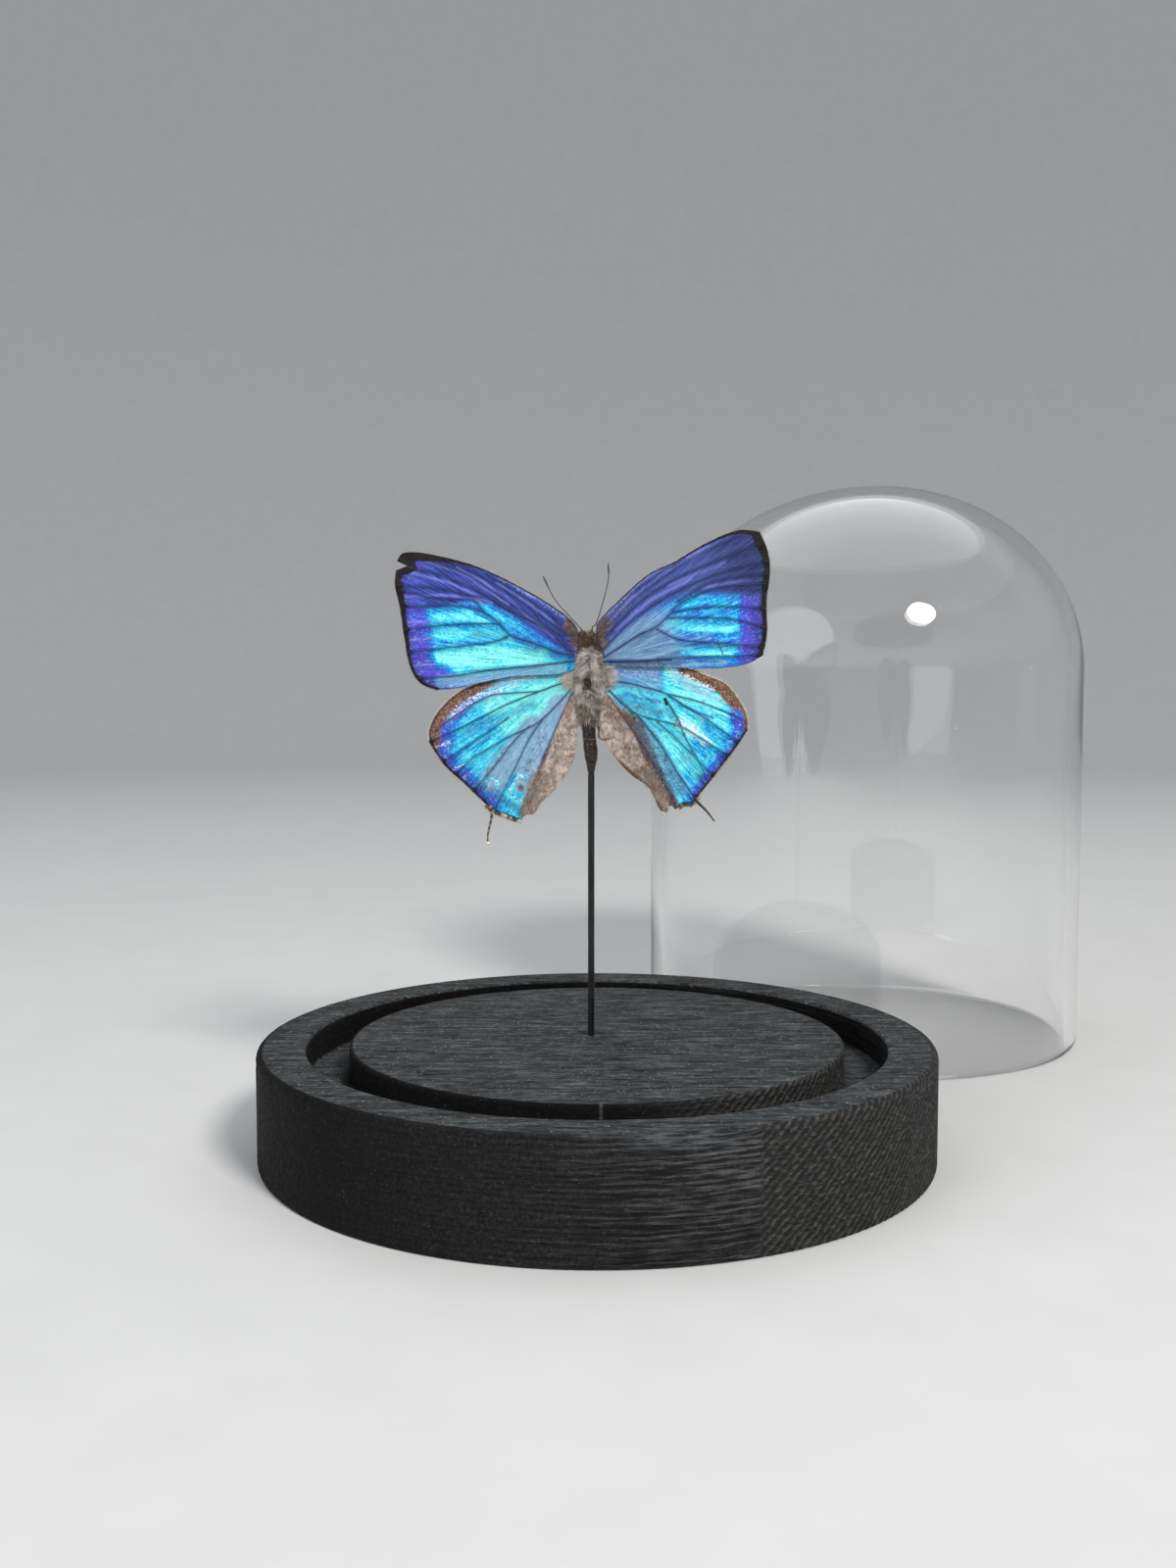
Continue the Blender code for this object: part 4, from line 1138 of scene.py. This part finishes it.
def paint_hindwing_right(wing, spots):
    outer = edge_distance(wing, spots, "outer")
    lower = edge_distance(wing, spots, "lower", "tooth")
    costa = edge_distance(wing, spots, "costa")
    inner = edge_distance(wing, spots, "inner")
    up, side = spots.up, spots.across
    border = ((2.9, -2.2), (5.3, -4.8), (7.5, -7.0), (9.1, -9.6), (10.4, -12.8), (11.8, -16.2), (13.3, -19.4),
              (15.0, -22.6))
    fold = 1 - spots.beside(border, 0.6)
    copper = np.maximum(spots.marks((0.95, 0.6, 1.2, (17.0, 1.2), (20.5, -0.3), (23.6, -2.0), (26.2, -4.8))),
                        fall(costa, 0.3, 0.7) * ease(15.5, 17, side) * 0.8)
    black = np.maximum.reduce([
        dark_margin(wing, spots, -0.05, 0.6, "outer"), fall(lower, -0.05, 0.5) * 0.9,
        fall(costa, -0.05, 0.3) * ease(15, 17, side) * 0.9,
        spots.near(((13.6, -4.0), (13.9, -4.7)), 0.1, 0.5) * 0.9])
    blue_base = spots.over(((3, -1.9), (8, -2.2), (14, -3.2)), 0.6) * (1 - ease(12.6, 13.8, side))
    glow = spots.pull(
        0.74,
        (1.05, 1.0, 0.4, 1.2, (14.6, 0.6), (18, -1.6), (23, -4.6)),
        (0.86, 0.9, 0.1, 0.9, (15, -2.7), (20, -4.8), (25, -7.4)),
        (0.98, 1.0, 0.6, 1.6, (16.4, -8.2), (18.5, -9.5), (20.6, -11.0)),
        (0.80, 0.8, 0.2, 1.6, (11, -8.6), (18, -15.5)),
        (0.86, 0.8, 0.0, 0.5, (10, -9.4), (15.6, -18.4)),
        (0.52, 1.0, 0.8, 1.6, (19, -12.2), (22.8, -14.0)),
        (0.56, 1.0, 0.7, 1.4, (17.2, -18.0), (18.6, -20.6)),
        (0.64, 0.8, 0.6, 1.4, (6, -3.8), (12, -6.4)),
        (0.52, 1.0, 0.6, 1.4, (21, -8.8), (24.2, -11.3)))
    glow = toward(glow, 0.36, fall(outer, 1.2, 2.2) * 0.8)
    glow = toward(glow, 0.12, fall(outer, 0.3, 1.8))
    glow = spots.pull(glow, (0.14, 1.0, 0.5, 2.0, (26.3, -6.8), (27.2, -9.8)))
    royal = spots.marks((0.62, 0.0, 0.7, (16.0, -4.9), (19, -6.1), (22, -7.2)),
                        (0.55, 0.1, 0.9, (6.5, -3.0), (12.5, -4.4)))
    flat = np.maximum(blue_base * 0.55, spots.marks((0.5, 0.8, 2.0, (10.6, -10.5), (16.0, -19.5))))
    lavender = spots.marks((0.5, 0.1, 0.7, (16, -0.8), (20, -2.6), (24, -4.8)),
                           (0.52, 0.3, 1.3, (9.4, -8.5), (12.8, -17.5)),
                         (0.52, 0.6, 1.6, (4, 1.0), (12, 1.2)))
    spark = spots.marks(
        (0.5, 0.1, 0.8, (14.0, 1.3), (18, -0.2), (22, -2.2)), (0.6, 0.2, 0.8, (12.2, -21.2), (14.6, -23.4)),
        (0.54, 0.5, 1.3, (16.6, -8.2), (18.6, -9.6), (20.8, -11.4)),
        (0.44, 0.1, 0.6, (8.6, -7.6), (11.0, -12.0)))
    worn = spots.marks(
        (0.50, 0.5, 1.5, (5.5, -4.0), (12.5, -6.6)), (0.50, 1.0, 2.2, (9.6, -9.0), (15.4, -19.5)),
        (0.44, 0.3, 1.5, (14.0, -5.5), (16.5, -10.5)), (0.42, 0.4, 1.6, (17, -14), (20, -18)))
    umber = np.maximum.reduce([fold * fall(inner, 0.2, 0.9) * (1 - ease(-17.0, -12.0, up)),
                               fold * (1 - ease(-24.0, -19.0, up)) * 0.52,
                               spots.near(border, 0.7, 1.0) * (1 - ease(-8, -3, up)) * 0.85])
    return {"black": black, "glow": toward(glow, 0.50, blue_base * 0.9), "flat": flat, "lavender": lavender,
            "copper": copper, "royal": royal, "spark": spark, "worn": worn, "umber": umber, "taupe": fold,
            "deep": fall(outer, 0.2, 1.6) * 0.5,
            "pale": flat * 0.2 + spots.near(((14.8, 0.6), (18, -1.6), (21, -3.4)), 0.3, 1.0) * 0.6,
            "mosaic": (1 - fold) * (1 - copper) * (1 - umber) * 0.85,
            "sheen": 1 - np.maximum.reduce([fold, copper * 0.8, umber, flat * 0.4])}


PAINTERS = {
    "forewing_left": paint_forewing_left,
    "forewing_right": paint_forewing_right,
    "hindwing_left": paint_hindwing_left,
    "hindwing_right": paint_hindwing_right,
}


def make_wing(wing, upper, under):
    """Two thin sheets closed round the rim, with the colours' masks on their points."""
    outline = outline_of(wing)
    given = [Vector(point) for point in np.vstack([outline, wing_grid(outline)])]
    points, _, triangles, sources, _, _ = delaunay_2d_cdt(given, [], [list(range(len(outline)))], 1, 1e-6)
    flat = np.array([tuple(point) for point in points])
    where = {source: index for index, found in enumerate(sources) for source in found}
    spots = Spots(flat[:, 0], flat[:, 1])
    depth = sheet_depth(wing, spots)
    thin = WING_SHEET * (0.35 + 0.65 * ease(0.0, 0.5, spots.from_line(around(outline))))
    front = place(spots.across, spots.up, depth - thin / 2)
    rear = place(spots.across, spots.up, depth + thin / 2)
    count = len(flat)
    faces = []
    for a, b, c in triangles:
        forward = np.cross(flat[b] - flat[a], flat[c] - flat[a]) > 0
        a, c = (a, c) if forward else (c, a)
        faces.append((a, b, c))
        faces.append((count + c, count + b, count + a))
    ring = [where[index] for index in range(len(outline))]
    turn = np.cross(outline, np.roll(outline, -1, axis=0)).sum() > 0
    for start, end in zip(ring, ring[1:] + ring[:1]):
        rim = (start, count + start, count + end, end)
        faces.append(rim if turn else rim[::-1])
    made = add_mesh(wing + "_scales", np.vstack([front, rear]), faces, [upper, under])
    kinds = np.zeros(len(faces), np.int32)
    kinds[1:2 * len(triangles):2] = 1
    made.data.polygons.foreach_set("material_index", kinds)
    masks = PAINTERS[wing](wing, spots)
    # the vein mask: each vein's dark line and, further out, painted shade beside it, wider on the forewings
    shadow = 0.52 if wing.startswith("forewing") else 0.32
    masks["vein"] = fall(vein_distance(wing, spots), 0.08, shadow) * 0.75
    for name, values in masks.items():
        set_values(made, name, np.tile(np.clip(values, 0.0, 1.0), 2))
    side = np.sign(flat[:, 0].mean())
    across, up = spots.across - 1.5 * side, spots.up - 2.5
    flow = np.column_stack([np.hypot(across, up), np.arctan2(up, across * side) * 16.0, np.zeros(count)])
    set_values(made, "flow", np.vstack([flow, flow]))
    piece(made, "wing_scales", wing)


def make_veins(wing, material):
    lines, browns = [], []
    for root, tip, places in VEINS[wing]:
        line = even_line(smooth_line(places, 8), 0.35)
        beside_fold = wing.startswith("hindwing") and places == VEINS[wing][-1][2]
        browns.append(np.full(len(line) * 6, float(beside_fold)))
        depth = sheet_depth(wing, Spots(line[:, 0], line[:, 1])) - WING_SHEET / 2
        radii = np.linspace(root, tip, len(line)) * 0.55
        lines.append((place(line[:, 0], line[:, 1], depth - radii * 0.2), radii * MM))
    made = tubes(wing + "_veins", lines, [material])
    set_values(made, "brown", np.concatenate(browns))
    piece(made, "wing_scales")


def make_fringe(name, wing, edge, spacing, length, tones, material, start=0.0):
    """Short hair-like scales that stand out from a wing's edge, from a share of its length on."""
    line = even_line(smooth_line(WINGS[wing][edge], 8), spacing)
    line = line[int(start * len(line)):]
    run = np.gradient(line, axis=0)
    out = unit(np.column_stack([run[:, 1], -run[:, 0]]))
    out *= np.sign(((line - outline_of(wing).mean(0)) * out).sum(1))[:, None]
    count = len(line)
    roots = place(*line.T, depth_at(wing, line))
    heads = np.column_stack([out[:, 0], np.zeros(count), out[:, 1]]) + RANDOM.normal(0.0, 0.25, (count, 3))
    sizes = length * MM * RANDOM.uniform(0.6, 1.2, count)
    piece(hairs(name, roots, heads, sizes, 0.045 * MM, STRAIGHT, tones(line), material), "wing_scales")


def dark_tones(line):
    return RANDOM.uniform(0.0, 0.3, len(line))


def light_tones(line):
    return RANDOM.uniform(0.6, 1.0, len(line))


def dashed_tones(line):
    return mottled(line, 0.7, 9.0, 0.55, 0.9, 0.12)


def make_fringes(material):
    for wing in WINGS:
        length = 0.20 if wing.startswith("forewing") else 0.22
        make_fringe("fringe_" + wing, wing, "outer", 0.05, length, dark_tones, material)
    for side in ("left", "right"):
        make_fringe("fringe_lower_" + side, "hindwing_" + side, "lower", 0.02, 0.85, dashed_tones, material)
    make_fringe("fringe_costa_left", "hindwing_left", "costa", 0.05, 0.28, light_tones, material, 0.6)
    make_fringe("fringe_costa_right", "hindwing_right", "costa", 0.04, 0.42, light_tones, material, 0.5)


def make_tail(name, wing, beads, tones, material, tip):
    """A thread-like tail, thickened into beads of scales, as one closed tube."""
    line = even_line(smooth_line(TAILS[name], 8), 0.12)
    share = np.linspace(0.0, 1.0, len(line))
    depth = depth_at(wing, line) + line[:, 2]
    thick = 0.30 * (1 - 0.5 * share) * (1 + beads * waves(np.column_stack([share * 18, share * 0]), 1.0, 5.0))
    in_tip = np.clip((share - TAIL_TIP) / (1 - TAIL_TIP), 0, 1)
    thick = np.where(share > TAIL_TIP, thick + tip * np.sin(np.pi * in_tip), thick)
    thick[0], thick[-1] = thick[1], 0.05
    made = tubes(name, [(place(line[:, 0], line[:, 1], depth), thick * MM)], [material], 8)
    set_values(made, "tone", np.repeat(tones(share), 8))
    piece(made, "wing_scales")


def banded(share):
    """Tones along the left tail: bands of scales, then its white tip."""
    return np.where(share > TAIL_TIP, 1.0, 0.42 + 0.2 * np.sin(38 * share + 4 * share ** 2))


def brown_end(share):
    """Tones along the right tail."""
    return 0.1 + 0.2 * share


# ---------------------------------------------------------------- body

def ellipsoid(name, middle, radii, material, dent, rows=40, steps=64, size=0.9):
    """A closed egg with a slightly uneven skin. Middle is (across, up, back)."""
    turns = np.pi * (np.arange(rows) + 0.5) / rows
    rings = turned([(math.sin(t), math.cos(t)) for t in turns], steps).reshape(-1, 3)
    skin = rings * (1 + dent * waves(rings * radii, size, 1.0))[:, None]
    points = skin * np.array(radii) * MM + place(*middle)
    faces = [face[::-1] for face in ring_faces(rows, steps) + caps(rows, steps)]
    return add_mesh(name, points, faces, [material])


def make_thorax(skin, hair):
    middle = (*THORAX_MIDDLE, BODY_BACK)
    radii = np.array(THORAX_RADII) * 0.86
    piece(ellipsoid("thorax_skin", middle, radii, skin, 0.07), "body_hair", "thorax")
    sphere = unit(RANDOM.normal(size=(5200, 3)))
    local = sphere * radii
    across, up = local[:, 0] + THORAX_MIDDLE[0], local[:, 2] + THORAX_MIDDLE[1]
    hole = np.hypot((across + 0.1) / 0.6, (up + 0.5) / 1.2)
    keep = (hole > 1.0) | (local[:, 1] > 0)
    sphere, local = sphere[keep], local[keep]
    count = len(local)
    roots = local * MM * 0.98 + place(*middle)
    comb = np.column_stack([np.sign(local[:, 0]) * 0.35, np.zeros(count), -0.75 + 0.15 * local[:, 2]])
    heads = unit(sphere / radii) * 0.55 + comb * 0.75 + RANDOM.normal(0, 0.33, (count, 3))
    lengths = RANDOM.uniform(0.7, 1.7, count) * MM
    clump = waves(local, 0.8, 2.0)
    flank = ease(0.7, 1.6, np.abs(local[:, 0])) * ease(-0.5, 1.5, local[:, 2])
    tones = np.clip(0.68 + 0.75 * clump - 0.45 * flank + RANDOM.normal(0, 0.12, count), 0, 1)
    sideways, back = RANDOM.normal(0, 0.2, count), RANDOM.normal(0, 0.1, count)
    bend = np.column_stack([sideways, back, np.full(count, -0.15)])
    piece(hairs("thorax_hair", roots, heads, lengths, 0.035 * MM, bend, tones, hair), "body_hair")


def make_pin_hole(skin):
    """The hole of the first mounting pin: a dark, crusted pit in the hair."""
    made = ellipsoid("pin_hole_crust", (-0.1, -1.15, -0.8), (0.58, 0.45, 0.66), skin, 0.22, 16, 24, 0.3)
    piece(made, "body_hair")


def make_abdomen(shell, hair):
    steps = 48
    stations = np.array((*ABDOMEN_STATIONS, ABDOMEN_END))
    fine = smooth_line(stations, 14)
    segment = (fine[:, 1] + 3.0) / 1.75
    rings_in = 0.055 * np.exp(-((segment - np.round(segment)) / 0.09) ** 2)
    radius = (fine[:, 2] * (1 - rings_in))[:, None]
    turns = 2 * np.pi * np.arange(steps) / steps
    across = fine[:, :1] + radius * np.cos(turns)
    back = BODY_BACK + radius * np.sin(turns)
    up = np.repeat(fine[:, 1:2], steps, 1)
    uneven = 0.03 * waves(np.column_stack([across.ravel(), back.ravel(), up.ravel()]), 0.8, 6.0)
    across = across + uneven.reshape(across.shape) * np.cos(turns)
    points = place(across, up, back).reshape(-1, 3)
    faces = [face[::-1] for face in ring_faces(len(fine), steps) + caps(len(fine), steps)]
    piece(add_mesh("abdomen_shell", points, faces, [shell]), "abdomen_shell", "abdomen")
    make_abdomen_hair(stations, hair)


def make_abdomen_hair(stations, hair):
    """Grey hair on the abdomen's upper end, which thins out downwards."""
    count = 4200
    up = RANDOM.uniform(-8.2, -2.2, count)
    turn = RANDOM.uniform(0, 2 * np.pi, count)
    size = np.interp(-up, -stations[:, 1], stations[:, 2])
    centre = np.interp(-up, -stations[:, 1], stations[:, 0])
    roots = place(centre + size * np.cos(turn), up, BODY_BACK + size * np.sin(turn))
    outward = np.column_stack([np.cos(turn), np.sin(turn), np.zeros(count)])
    loose = ease(-5.5, -3.5, up)[:, None]
    heads = outward * (0.5 + 0.6 * loose) + np.array((0, 0, -0.8)) * (1 - 0.5 * loose)
    heads = heads + RANDOM.normal(0, 0.3, (count, 3))
    keep = RANDOM.uniform(0, 1, count) < ease(-8.3, -6.4, up) + 0.08
    lengths = RANDOM.uniform(0.7, 1.5, count) * MM * (1 + 0.25 * loose[:, 0])
    tones = mottled(np.column_stack([centre, turn, up]), 0.8, 4.0, 0.50, 0.6, 0.15)
    roots, heads, lengths, tones = roots[keep], heads[keep], lengths[keep], tones[keep]
    made = hairs("abdomen_hair", roots, heads, lengths, 0.035 * MM, DROOPING, tones, hair)
    piece(made, "body_hair")


def make_abdomen_ring(material):
    """The pale edge of one abdomen segment that shows as a ring: a tube and the piece that closes it."""
    turns = np.linspace(0, 2 * np.pi, 49)
    radius, thick = 1.19, 0.06 * MM
    up = -11.05 + 0.05 * np.sin(2 * turns)
    line = place(0.22 + radius * np.cos(turns), up, BODY_BACK + radius * np.sin(turns))
    piece(tubes("abdomen_ring", [(line[:-1], thick), (line[-2:], thick)], [material]), "abdomen_shell")


def make_head(skin, eyes, hair):
    across, up = HEAD_MIDDLE
    radii = np.array(HEAD_RADII)
    made = ellipsoid("head_skin", (across, up - 0.6, BODY_BACK), radii * 0.76, skin, 0.12)
    piece(made, "head_shell", "head")
    sides = {"left": -1, "right": 1}
    for name, side in sides.items():
        spot = (across + side * 0.86, up + 0.1, BODY_BACK - 0.28)
        piece(ellipsoid("eye_" + name, spot, (0.56, 0.84, 0.84), eyes, 0.01, 32, 48), "head_shell")
    for name, side in sides.items():
        places = ((across + side * 0.60, 7.4, 1.0), (across + side * 0.85, 8.1, 0.9),
                  (across + side * 1.05, 8.6, 0.8))
        line = smooth_line(places, 8)
        thick = 0.24 * (1 - np.linspace(0, 1, len(line)) ** 2 * 0.6)
        piece(tubes("palp_" + name, [(place(*line.T), thick * MM)], [skin], 10), "head_shell")
    sphere = unit(RANDOM.normal(size=(2400, 3)))
    local = sphere * radii * 0.78
    local[:, 2] -= 0.75 - 0.45 * np.abs(local[:, 0])
    between = (np.abs(local[:, 0]) < 0.5) | (local[:, 1] > 0.1) | (np.abs(local[:, 2]) > 0.8)
    sphere, local = sphere[between], local[between]
    count = len(local)
    heads = sphere * 0.7 + np.array((0, -0.1, 0.35)) + RANDOM.normal(0, 0.3, (count, 3))
    lengths = RANDOM.uniform(0.4, 0.9, count) * MM
    tones = mottled(local, 0.5, 4.0, 0.42, 0.8, 0.2)
    roots = local * MM + place(across, up, BODY_BACK)
    piece(hairs("head_hair", roots, heads, lengths, 0.03 * MM, STRAIGHT, tones, hair), "head_shell")


def make_antennae(material):
    for name, places in ANTENNA_LINES.items():
        line = even_line(smooth_line(places, 12), 0.09)
        share = np.linspace(0, 1, len(line))
        rings = 1 + 0.10 * np.sin(np.arange(len(line)) * 2.1)
        club = 0.075 * np.exp(-((share - 0.9) / 0.07) ** 2)
        radii = (0.095 - 0.02 * share + club) * rings
        radii[-1] = 0.02
        piece(tubes(name + "_horn", [(place(*line.T), radii * MM)], [material], 8), "limb_shell", name)


def make_legs(material, hair):
    for name, places in LEG_LINES.items():
        line = even_line(smooth_line(places, 10), 0.12)
        share = np.linspace(0, 1, len(line))
        stout = 0.32 if name == "leg_right_hind" else 0.15
        radii = stout * (1 - 0.45 * share) * (1 + 0.12 * np.sin(share * 40))
        radii[-1] = 0.03
        spots = place(*line.T)
        piece(tubes(name + "_horn", [(spots, radii * MM)], [material], 8), "limb_shell", name)
        count = 90
        pick = RANDOM.integers(2, len(line) - 2, count)
        heads = RANDOM.normal(0, 1, (count, 3)) + (spots[pick + 1] - spots[pick]) / MM * 6
        lengths = RANDOM.uniform(0.2, 0.4, count) * MM
        tones = RANDOM.uniform(0.1, 0.7, count)
        made = hairs(name + "_bristles", spots[pick], heads, lengths, 0.018 * MM, STRAIGHT, tones, hair)
        piece(made, "limb_shell")


def surface_hair(name, wing, material, line, count, spread, length, comb, middle, lift=0.35):
    """Hair lying on a wing's upper side, scattered about a line on it."""
    line = even_line(smooth_line(line, 8), 0.1)
    spots = line[RANDOM.integers(0, len(line), count)]
    spots = spots + RANDOM.normal(0, spread, spots.shape)
    spots = spots[inside(outline_of(wing), spots)]
    count = len(spots)
    roots = place(*spots.T, depth_at(wing, spots) - WING_SHEET / 2)
    heads = np.array((comb[0], -lift, comb[1])) + RANDOM.normal(0, 0.35, (count, 3)) * (1, 0.4, 1)
    lengths = RANDOM.uniform(0.6, 1.2, count) * length * MM
    tones = mottled(spots, 0.9, 3.0, middle, 0.3, 0.14)
    piece(hairs(name, roots, heads, lengths, 0.03 * MM, PRESSED, tones, material), "body_hair")


def side_hair(name, material, line, count, spread, comb, length, middle):
    """Hair rooted in the body's side, which closes the gap to the wings. Line is (across, up, back)."""
    line = even_line(smooth_line(line, 8), 0.1)
    spots = line[RANDOM.integers(0, len(line), count)] + RANDOM.normal(0, spread, (count, 3))
    heads = np.array(comb) + RANDOM.normal(0, 0.35, (count, 3))
    lengths = RANDOM.uniform(0.6, 1.2, count) * length * MM
    tones = mottled(spots, 0.9, 3.0, middle, 0.5, 0.16)
    piece(hairs(name, place(*spots.T), heads, lengths, 0.035 * MM, DROOPING, tones, material), "body_hair")


def make_loose_hair(fold, brown, grey):
    """Hair on the folds and roots of the wings, then at the body's sides."""
    rows = (
        ("fold_hair_left", "hindwing_left", fold, LEFT_FOLD, 1500, 0.9, 0.8, (-0.2, -0.9), 0.62, 0.15),
        ("border_hair_left", "hindwing_left", fold, ((-8.6, -17.0), (-9.6, -20.0), (-10.8, -23.6)),
         1300, 0.7, 0.9, (-0.3, -0.6), 0.6),
        ("fold_hair_right", "hindwing_right", fold, RIGHT_FOLD, 1500, 0.9, 0.8, (0.25, -0.9), 0.50, 0.15),
        ("border_hair_right", "hindwing_right", fold, ((9.6, -16.0), (11.4, -19.4), (13.4, -22.8)),
         1300, 0.7, 0.9, (0.3, -0.6), 0.58),
        ("root_hair_left", "forewing_left", brown, ((-1.9, 5.0), (-2.4, 7.4), (-3.6, 9.4)),
         520, 0.6, 0.9, (-0.7, 0.4), 0.6),
        ("root_hair_right", "forewing_right", brown, ((2.2, 5.0), (2.0, 7.4), (3.0, 9.8)),
         520, 0.6, 0.9, (0.7, 0.4), 0.62),
        ("tuft_left", "hindwing_left", grey, ((-2.5, 1.0), (-3.4, 0.2), (-2.9, -1.8)),
         550, 0.45, 1.6, (-0.8, 0.1), 0.82, 0.7),
        ("tuft_right", "hindwing_right", grey, ((2.9, 1.2), (3.5, 0.4), (3.2, -1.6)),
         550, 0.45, 1.6, (0.8, 0.1), 0.8, 0.7),
    )
    for row in rows:
        surface_hair(*row)
    rows = (
        ("side_hair_left", grey, ((-1.1, 4.8, 0.4), (-1.4, 2.4, 0.3), (-1.5, 0.5, 0.3), (-1.1, -2.2, 0.4)),
         1000, 0.2, (-0.8, -0.3, -0.35), 1.5, 0.72),
        ("side_hair_right", grey, ((1.7, 4.8, 0.4), (2.0, 2.4, 0.3), (2.1, 0.5, 0.3), (1.5, -2.4, 0.4)),
         1000, 0.2, (0.8, -0.3, -0.35), 1.5, 0.66),
        ("waist_hair_left", grey, ((-1.0, -1.4, 0.6), (-1.1, -3.4, 0.6), (-1.2, -6.0, 0.7)),
         500, 0.15, (-0.6, -0.1, -0.6), 1.2, 0.62),
        ("waist_hair_right", grey, ((1.2, -1.4, 0.6), (1.2, -3.4, 0.6), (1.3, -6.0, 0.7)),
         500, 0.15, (0.7, -0.1, -0.6), 1.3, 0.55),
        ("collar_hair_left", brown, ((-1.1, 7.5, 0.7), (-1.3, 6.2, 0.5), (-1.2, 4.2, 0.3)),
         900, 0.2, (-0.7, -0.2, 0.1), 1.3, 0.36),
        ("collar_hair_right", brown, ((0.6, 7.3, 0.7), (0.9, 6.0, 0.5), (1.5, 4.2, 0.3)),
         900, 0.2, (0.7, -0.2, 0.1), 1.3, 0.36),
    )
    for row in rows:
        side_hair(*row)


# ---------------------------------------------------------------- stage

def make_stage():
    """A pale floor that curves up into a wall far outside every view."""
    steps = 96
    profile = [(0.001, 0.0), (0.4, 0.0), (0.8, 0.0), (1.2, 0.0)]
    bend = [(1.2 + 0.9 * math.sin(t), 0.9 - 0.9 * math.cos(t)) for t in np.linspace(0.05, math.pi / 2, 20)]
    profile += bend + [(2.1, 1.6)]
    rings = turned(profile, steps).reshape(-1, 3)
    faces = ring_faces(len(profile), steps) + [tuple(range(steps))]
    add_mesh("pale_floor", rings, faces, [pale_stage()])


def add_light(name, where, aim, size, watts, colour):
    lamp = bpy.data.lights.new(name, "AREA")
    lamp.shape = "DISK"
    lamp.size = size
    lamp.energy = watts
    lamp.color = colour
    made = bpy.data.objects.new(name, lamp)
    made.location = where
    made.rotation_euler = (Vector(aim) - Vector(where)).to_track_quat("-Z", "Y").to_euler()
    made.visible_camera = False
    bpy.context.scene.collection.objects.link(made)


def make_lights():
    world = bpy.data.worlds.new("studio")
    world.use_nodes = True
    world.node_tree.nodes["Background"].inputs["Color"].default_value = (0.82, 0.86, 0.92, 1.0)
    world.node_tree.nodes["Background"].inputs["Strength"].default_value = 0.52
    bpy.context.scene.world = world
    middle = (0.0, 0.0, 0.07)
    add_light("key", (0.42, -0.75, 0.75), middle, 0.26, 11.0, (1.0, 0.97, 0.93))
    add_light("fill", (-0.85, -0.65, 0.45), middle, 1.10, 4.8, (0.88, 0.94, 1.0))
    add_light("top", (0.10, 0.35, 1.20), middle, 1.60, 4.0, (1.0, 1.0, 1.0))


def make_camera():
    data = bpy.data.cameras.new("camera")
    data.lens = 34.875
    data.sensor_width = 36.0
    data.clip_start = 0.01
    made = bpy.data.objects.new("camera", data)
    made.location = (-0.00157, -0.26949, 0.08356)
    made.rotation_euler = (math.radians(90.0 - 3.94), 0.0, 0.0)
    bpy.context.scene.collection.objects.link(made)
    bpy.context.scene.camera = made


def make_butterfly():
    upper, under, vein = wing_upper(), wing_under(), vein_skin()
    for wing in WINGS:
        make_wing(wing, upper, under)
        make_veins(wing, vein)
    shell = dark_shell("dark glossy shell", rgb(6, 4, 4), rgb(40, 21, 14), 0.22)
    limb = dark_shell("brown limb shell", rgb(74, 48, 32), rgb(158, 112, 78), 0.45)
    horn = dark_shell("dark antenna shell", rgb(16, 11, 10), rgb(50, 34, 26), 0.45)
    brown = dark_shell("brown head skin", rgb(38, 24, 18), rgb(88, 60, 44), 0.5)
    grey_hair = hair_colours("grey brown hair", (0.12, rgb(50, 40, 34)), (0.40, rgb(134, 118, 106)),
                             (0.62, rgb(188, 176, 166)), (0.85, rgb(236, 230, 224)))
    brown_hair = hair_colours("brown hair", (0.1, rgb(36, 22, 17)), (0.5, rgb(98, 68, 52)),
                              (0.9, rgb(176, 148, 126)))
    edge_hair = hair_colours("fringe scales", (0.15, rgb(20, 13, 12)), (0.5, rgb(96, 70, 52)),
                             (0.9, rgb(232, 218, 196)))
    fold_hair = hair_colours("fold hair", (0.1, rgb(78, 58, 46)), (0.45, rgb(142, 116, 98)),
                             (0.8, rgb(204, 190, 178)), (0.95, rgb(236, 230, 224)))
    make_thorax(dark_shell("dark thorax skin", rgb(60, 48, 42), rgb(120, 104, 92), 0.7), grey_hair)
    make_pin_hole(shell)
    make_abdomen(shell, grey_hair)
    make_abdomen_ring(dark_shell("pale segment edge", rgb(64, 46, 34), rgb(150, 126, 104), 0.5))
    make_head(brown, eye_skin(), brown_hair)
    make_antennae(horn)
    make_legs(limb, brown_hair)
    make_fringes(edge_hair)
    make_tail("tail_left", "hindwing_left", 0.35, banded, edge_hair, 0.24)
    make_tail("tail_right", "hindwing_right", 0.2, brown_end, edge_hair, 0.0)
    make_loose_hair(fold_hair, brown_hair, grey_hair)


def main():
    bpy.context.scene.view_settings.view_transform = "Standard"
    make_camera()
    make_stage()
    make_lights()
    make_base(stained_wood())
    make_dome(clear_glass())
    make_rod(satin_black())
    make_butterfly()


main()
